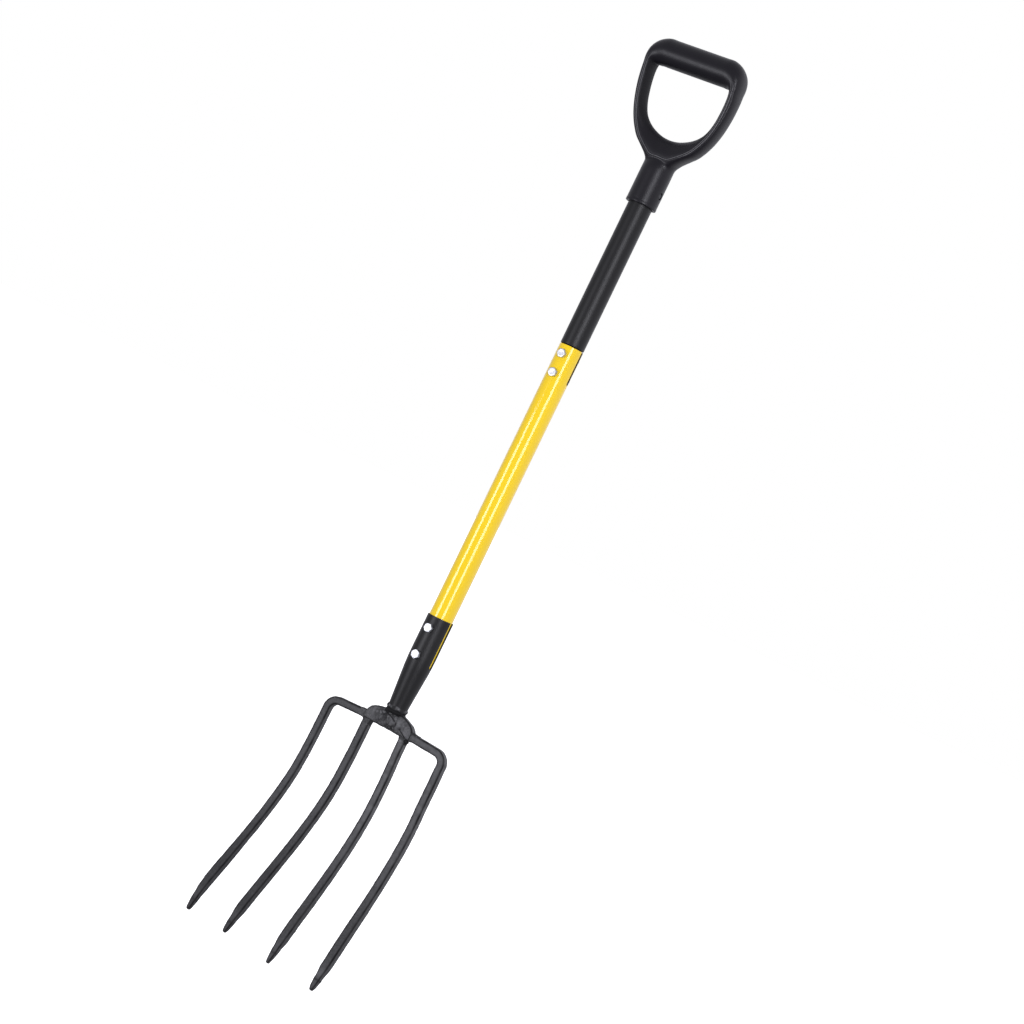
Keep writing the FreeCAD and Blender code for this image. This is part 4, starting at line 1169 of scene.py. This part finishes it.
def strip(name, angle, distance, z_low, z_high, width, radiance):
    """A tall soft box at an angle from the camera's side of the object."""
    a = math.radians(angle)
    direction = BACK * math.cos(a) + RIGHT * math.sin(a)
    height = z_high - z_low
    light = bpy.data.lights.new(name, "AREA")
    light.shape = "RECTANGLE"
    light.size, light.size_y = width, height
    light.energy = radiance * width * height * math.pi
    light.color = TINT
    obj = bpy.data.objects.new(name, light)
    bpy.context.scene.collection.objects.link(obj)
    obj.location = direction * distance + UP * (z_low + z_high) / 2
    x = UP.cross(direction).normalized()
    obj.matrix_world = Matrix(((x.x, UP.x, direction.x, obj.location.x),
                               (x.y, UP.y, direction.y, obj.location.y),
                               (x.z, UP.z, direction.z, obj.location.z),
                               (0, 0, 0, 1)))
    obj.visible_camera = False
    return obj


strip("softbox_left", -51.6, 2.0, -0.65, 0.17, 0.66, 9.0)
strip("softbox_right", 13.0, 2.0, -0.36, 1.00, 0.66, 8.2)

world = bpy.data.worlds.new("studio")
bpy.context.scene.world = world
world.use_nodes = True
wt = world.node_tree
wt.nodes.clear()
out = wt.nodes.new("ShaderNodeOutputWorld")
seen = wt.nodes.new("ShaderNodeBackground")
seen.inputs["Color"].default_value = (1, 1, 1, 1)
seen.inputs["Strength"].default_value = 1.0
room = wt.nodes.new("ShaderNodeBackground")
path = wt.nodes.new("ShaderNodeLightPath")
mix = wt.nodes.new("ShaderNodeMixShader")
tc = wt.nodes.new("ShaderNodeTexCoord")
dot = wt.nodes.new("ShaderNodeVectorMath")
dot.operation = "DOT_PRODUCT"
dot.inputs[1].default_value = BACK
wt.links.new(tc.outputs["Generated"], dot.inputs[0])
shade = wt.nodes.new("ShaderNodeValToRGB")
to01 = wt.nodes.new("ShaderNodeMapRange")
to01.inputs["From Min"].default_value = -1.0
to01.inputs["From Max"].default_value = 1.0
wt.links.new(dot.outputs["Value"], to01.inputs["Value"])
wt.links.new(to01.outputs["Result"], shade.inputs["Fac"])
stops = [(0.0, 1.0), (0.12, 0.98), (0.25, 0.66), (0.42, 0.58), (0.60, 0.52), (0.75, 0.46), (1.0, 0.46)]
while len(shade.color_ramp.elements) < len(stops):
    shade.color_ramp.elements.new(0.5)
for e, (pos, val) in zip(shade.color_ramp.elements, stops):
    e.position = pos
    e.color = (val, val, val, 1)
parts_xyz = wt.nodes.new("ShaderNodeSeparateXYZ")
wt.links.new(tc.outputs["Generated"], parts_xyz.inputs["Vector"])
height01 = wt.nodes.new("ShaderNodeMapRange")
height01.inputs["From Min"].default_value = -1.0
height01.inputs["From Max"].default_value = 1.0
wt.links.new(parts_xyz.outputs["Z"], height01.inputs["Value"])
lift = wt.nodes.new("ShaderNodeValToRGB")
levels = [(0.0, 0.35), (0.40, 0.70), (0.50, 0.92), (0.75, 1.0), (1.0, 1.0)]
while len(lift.color_ramp.elements) < len(levels):
    lift.color_ramp.elements.new(0.5)
for e, (pos, val) in zip(lift.color_ramp.elements, levels):
    e.position = pos
    e.color = (val, val, val, 1)
wt.links.new(height01.outputs["Result"], lift.inputs["Fac"])
product = wt.nodes.new("ShaderNodeMix")
product.data_type = "RGBA"
product.blend_type = "MULTIPLY"
product.inputs[0].default_value = 1.0
side_dot = wt.nodes.new("ShaderNodeVectorMath")
side_dot.operation = "DOT_PRODUCT"
side_dot.inputs[1].default_value = RIGHT
wt.links.new(tc.outputs["Generated"], side_dot.inputs[0])
side_fill = wt.nodes.new("ShaderNodeMapRange")
side_fill.inputs["From Min"].default_value = 0.35
side_fill.inputs["From Max"].default_value = 1.0
side_fill.inputs["To Min"].default_value = 0.0
side_fill.inputs["To Max"].default_value = 0.55
wt.links.new(side_dot.outputs["Value"], side_fill.inputs["Value"])
more = wt.nodes.new("ShaderNodeMix")
more.data_type = "RGBA"
more.blend_type = "ADD"
more.inputs[0].default_value = 1.0
wt.links.new(shade.outputs["Color"], more.inputs[6])
wt.links.new(side_fill.outputs["Result"], more.inputs[7])
tinted = wt.nodes.new("ShaderNodeMix")
tinted.data_type = "RGBA"
tinted.blend_type = "MULTIPLY"
tinted.inputs[0].default_value = 1.0
tinted.inputs[7].default_value = (*TINT, 1.0)
wt.links.new(more.outputs[2], tinted.inputs[6])
wt.links.new(tinted.outputs[2], product.inputs[6])
wt.links.new(lift.outputs["Color"], product.inputs[7])
wt.links.new(product.outputs[2], room.inputs["Color"])
room.inputs["Strength"].default_value = 1.0
wt.links.new(path.outputs["Is Camera Ray"], mix.inputs["Fac"])
wt.links.new(room.outputs["Background"], mix.inputs[1])
wt.links.new(seen.outputs["Background"], mix.inputs[2])
wt.links.new(mix.outputs["Shader"], out.inputs["Surface"])

# ------------------------------------------------------------------ camera
roll = math.radians(25.790)
c, s = math.cos(roll), math.sin(roll)
right2 = RIGHT * c + UP * s
up2 = -RIGHT * s + UP * c
cam_data = bpy.data.cameras.new("camera")
cam = bpy.data.objects.new("camera", cam_data)
bpy.context.scene.collection.objects.link(cam)
where = Vector((1.348905, -2.488069, -0.028138)) - right2 * 0.00059 + up2 * 0.00059
cam.matrix_world = Matrix(((right2.x, up2.x, BACK.x, where.x),
                           (right2.y, up2.y, BACK.y, where.y),
                           (right2.z, up2.z, BACK.z, where.z),
                           (0, 0, 0, 1)))
cam_data.sensor_width = 36.0
cam_data.lens = 84.367
cam_data.clip_start, cam_data.clip_end = 0.05, 200.0
cam_data.dof.use_dof = False
bpy.context.scene.camera = cam

view = bpy.context.scene.view_settings
view.view_transform = "Standard"
view.look = "None"
view.exposure = 0.0
view.gamma = 1.0
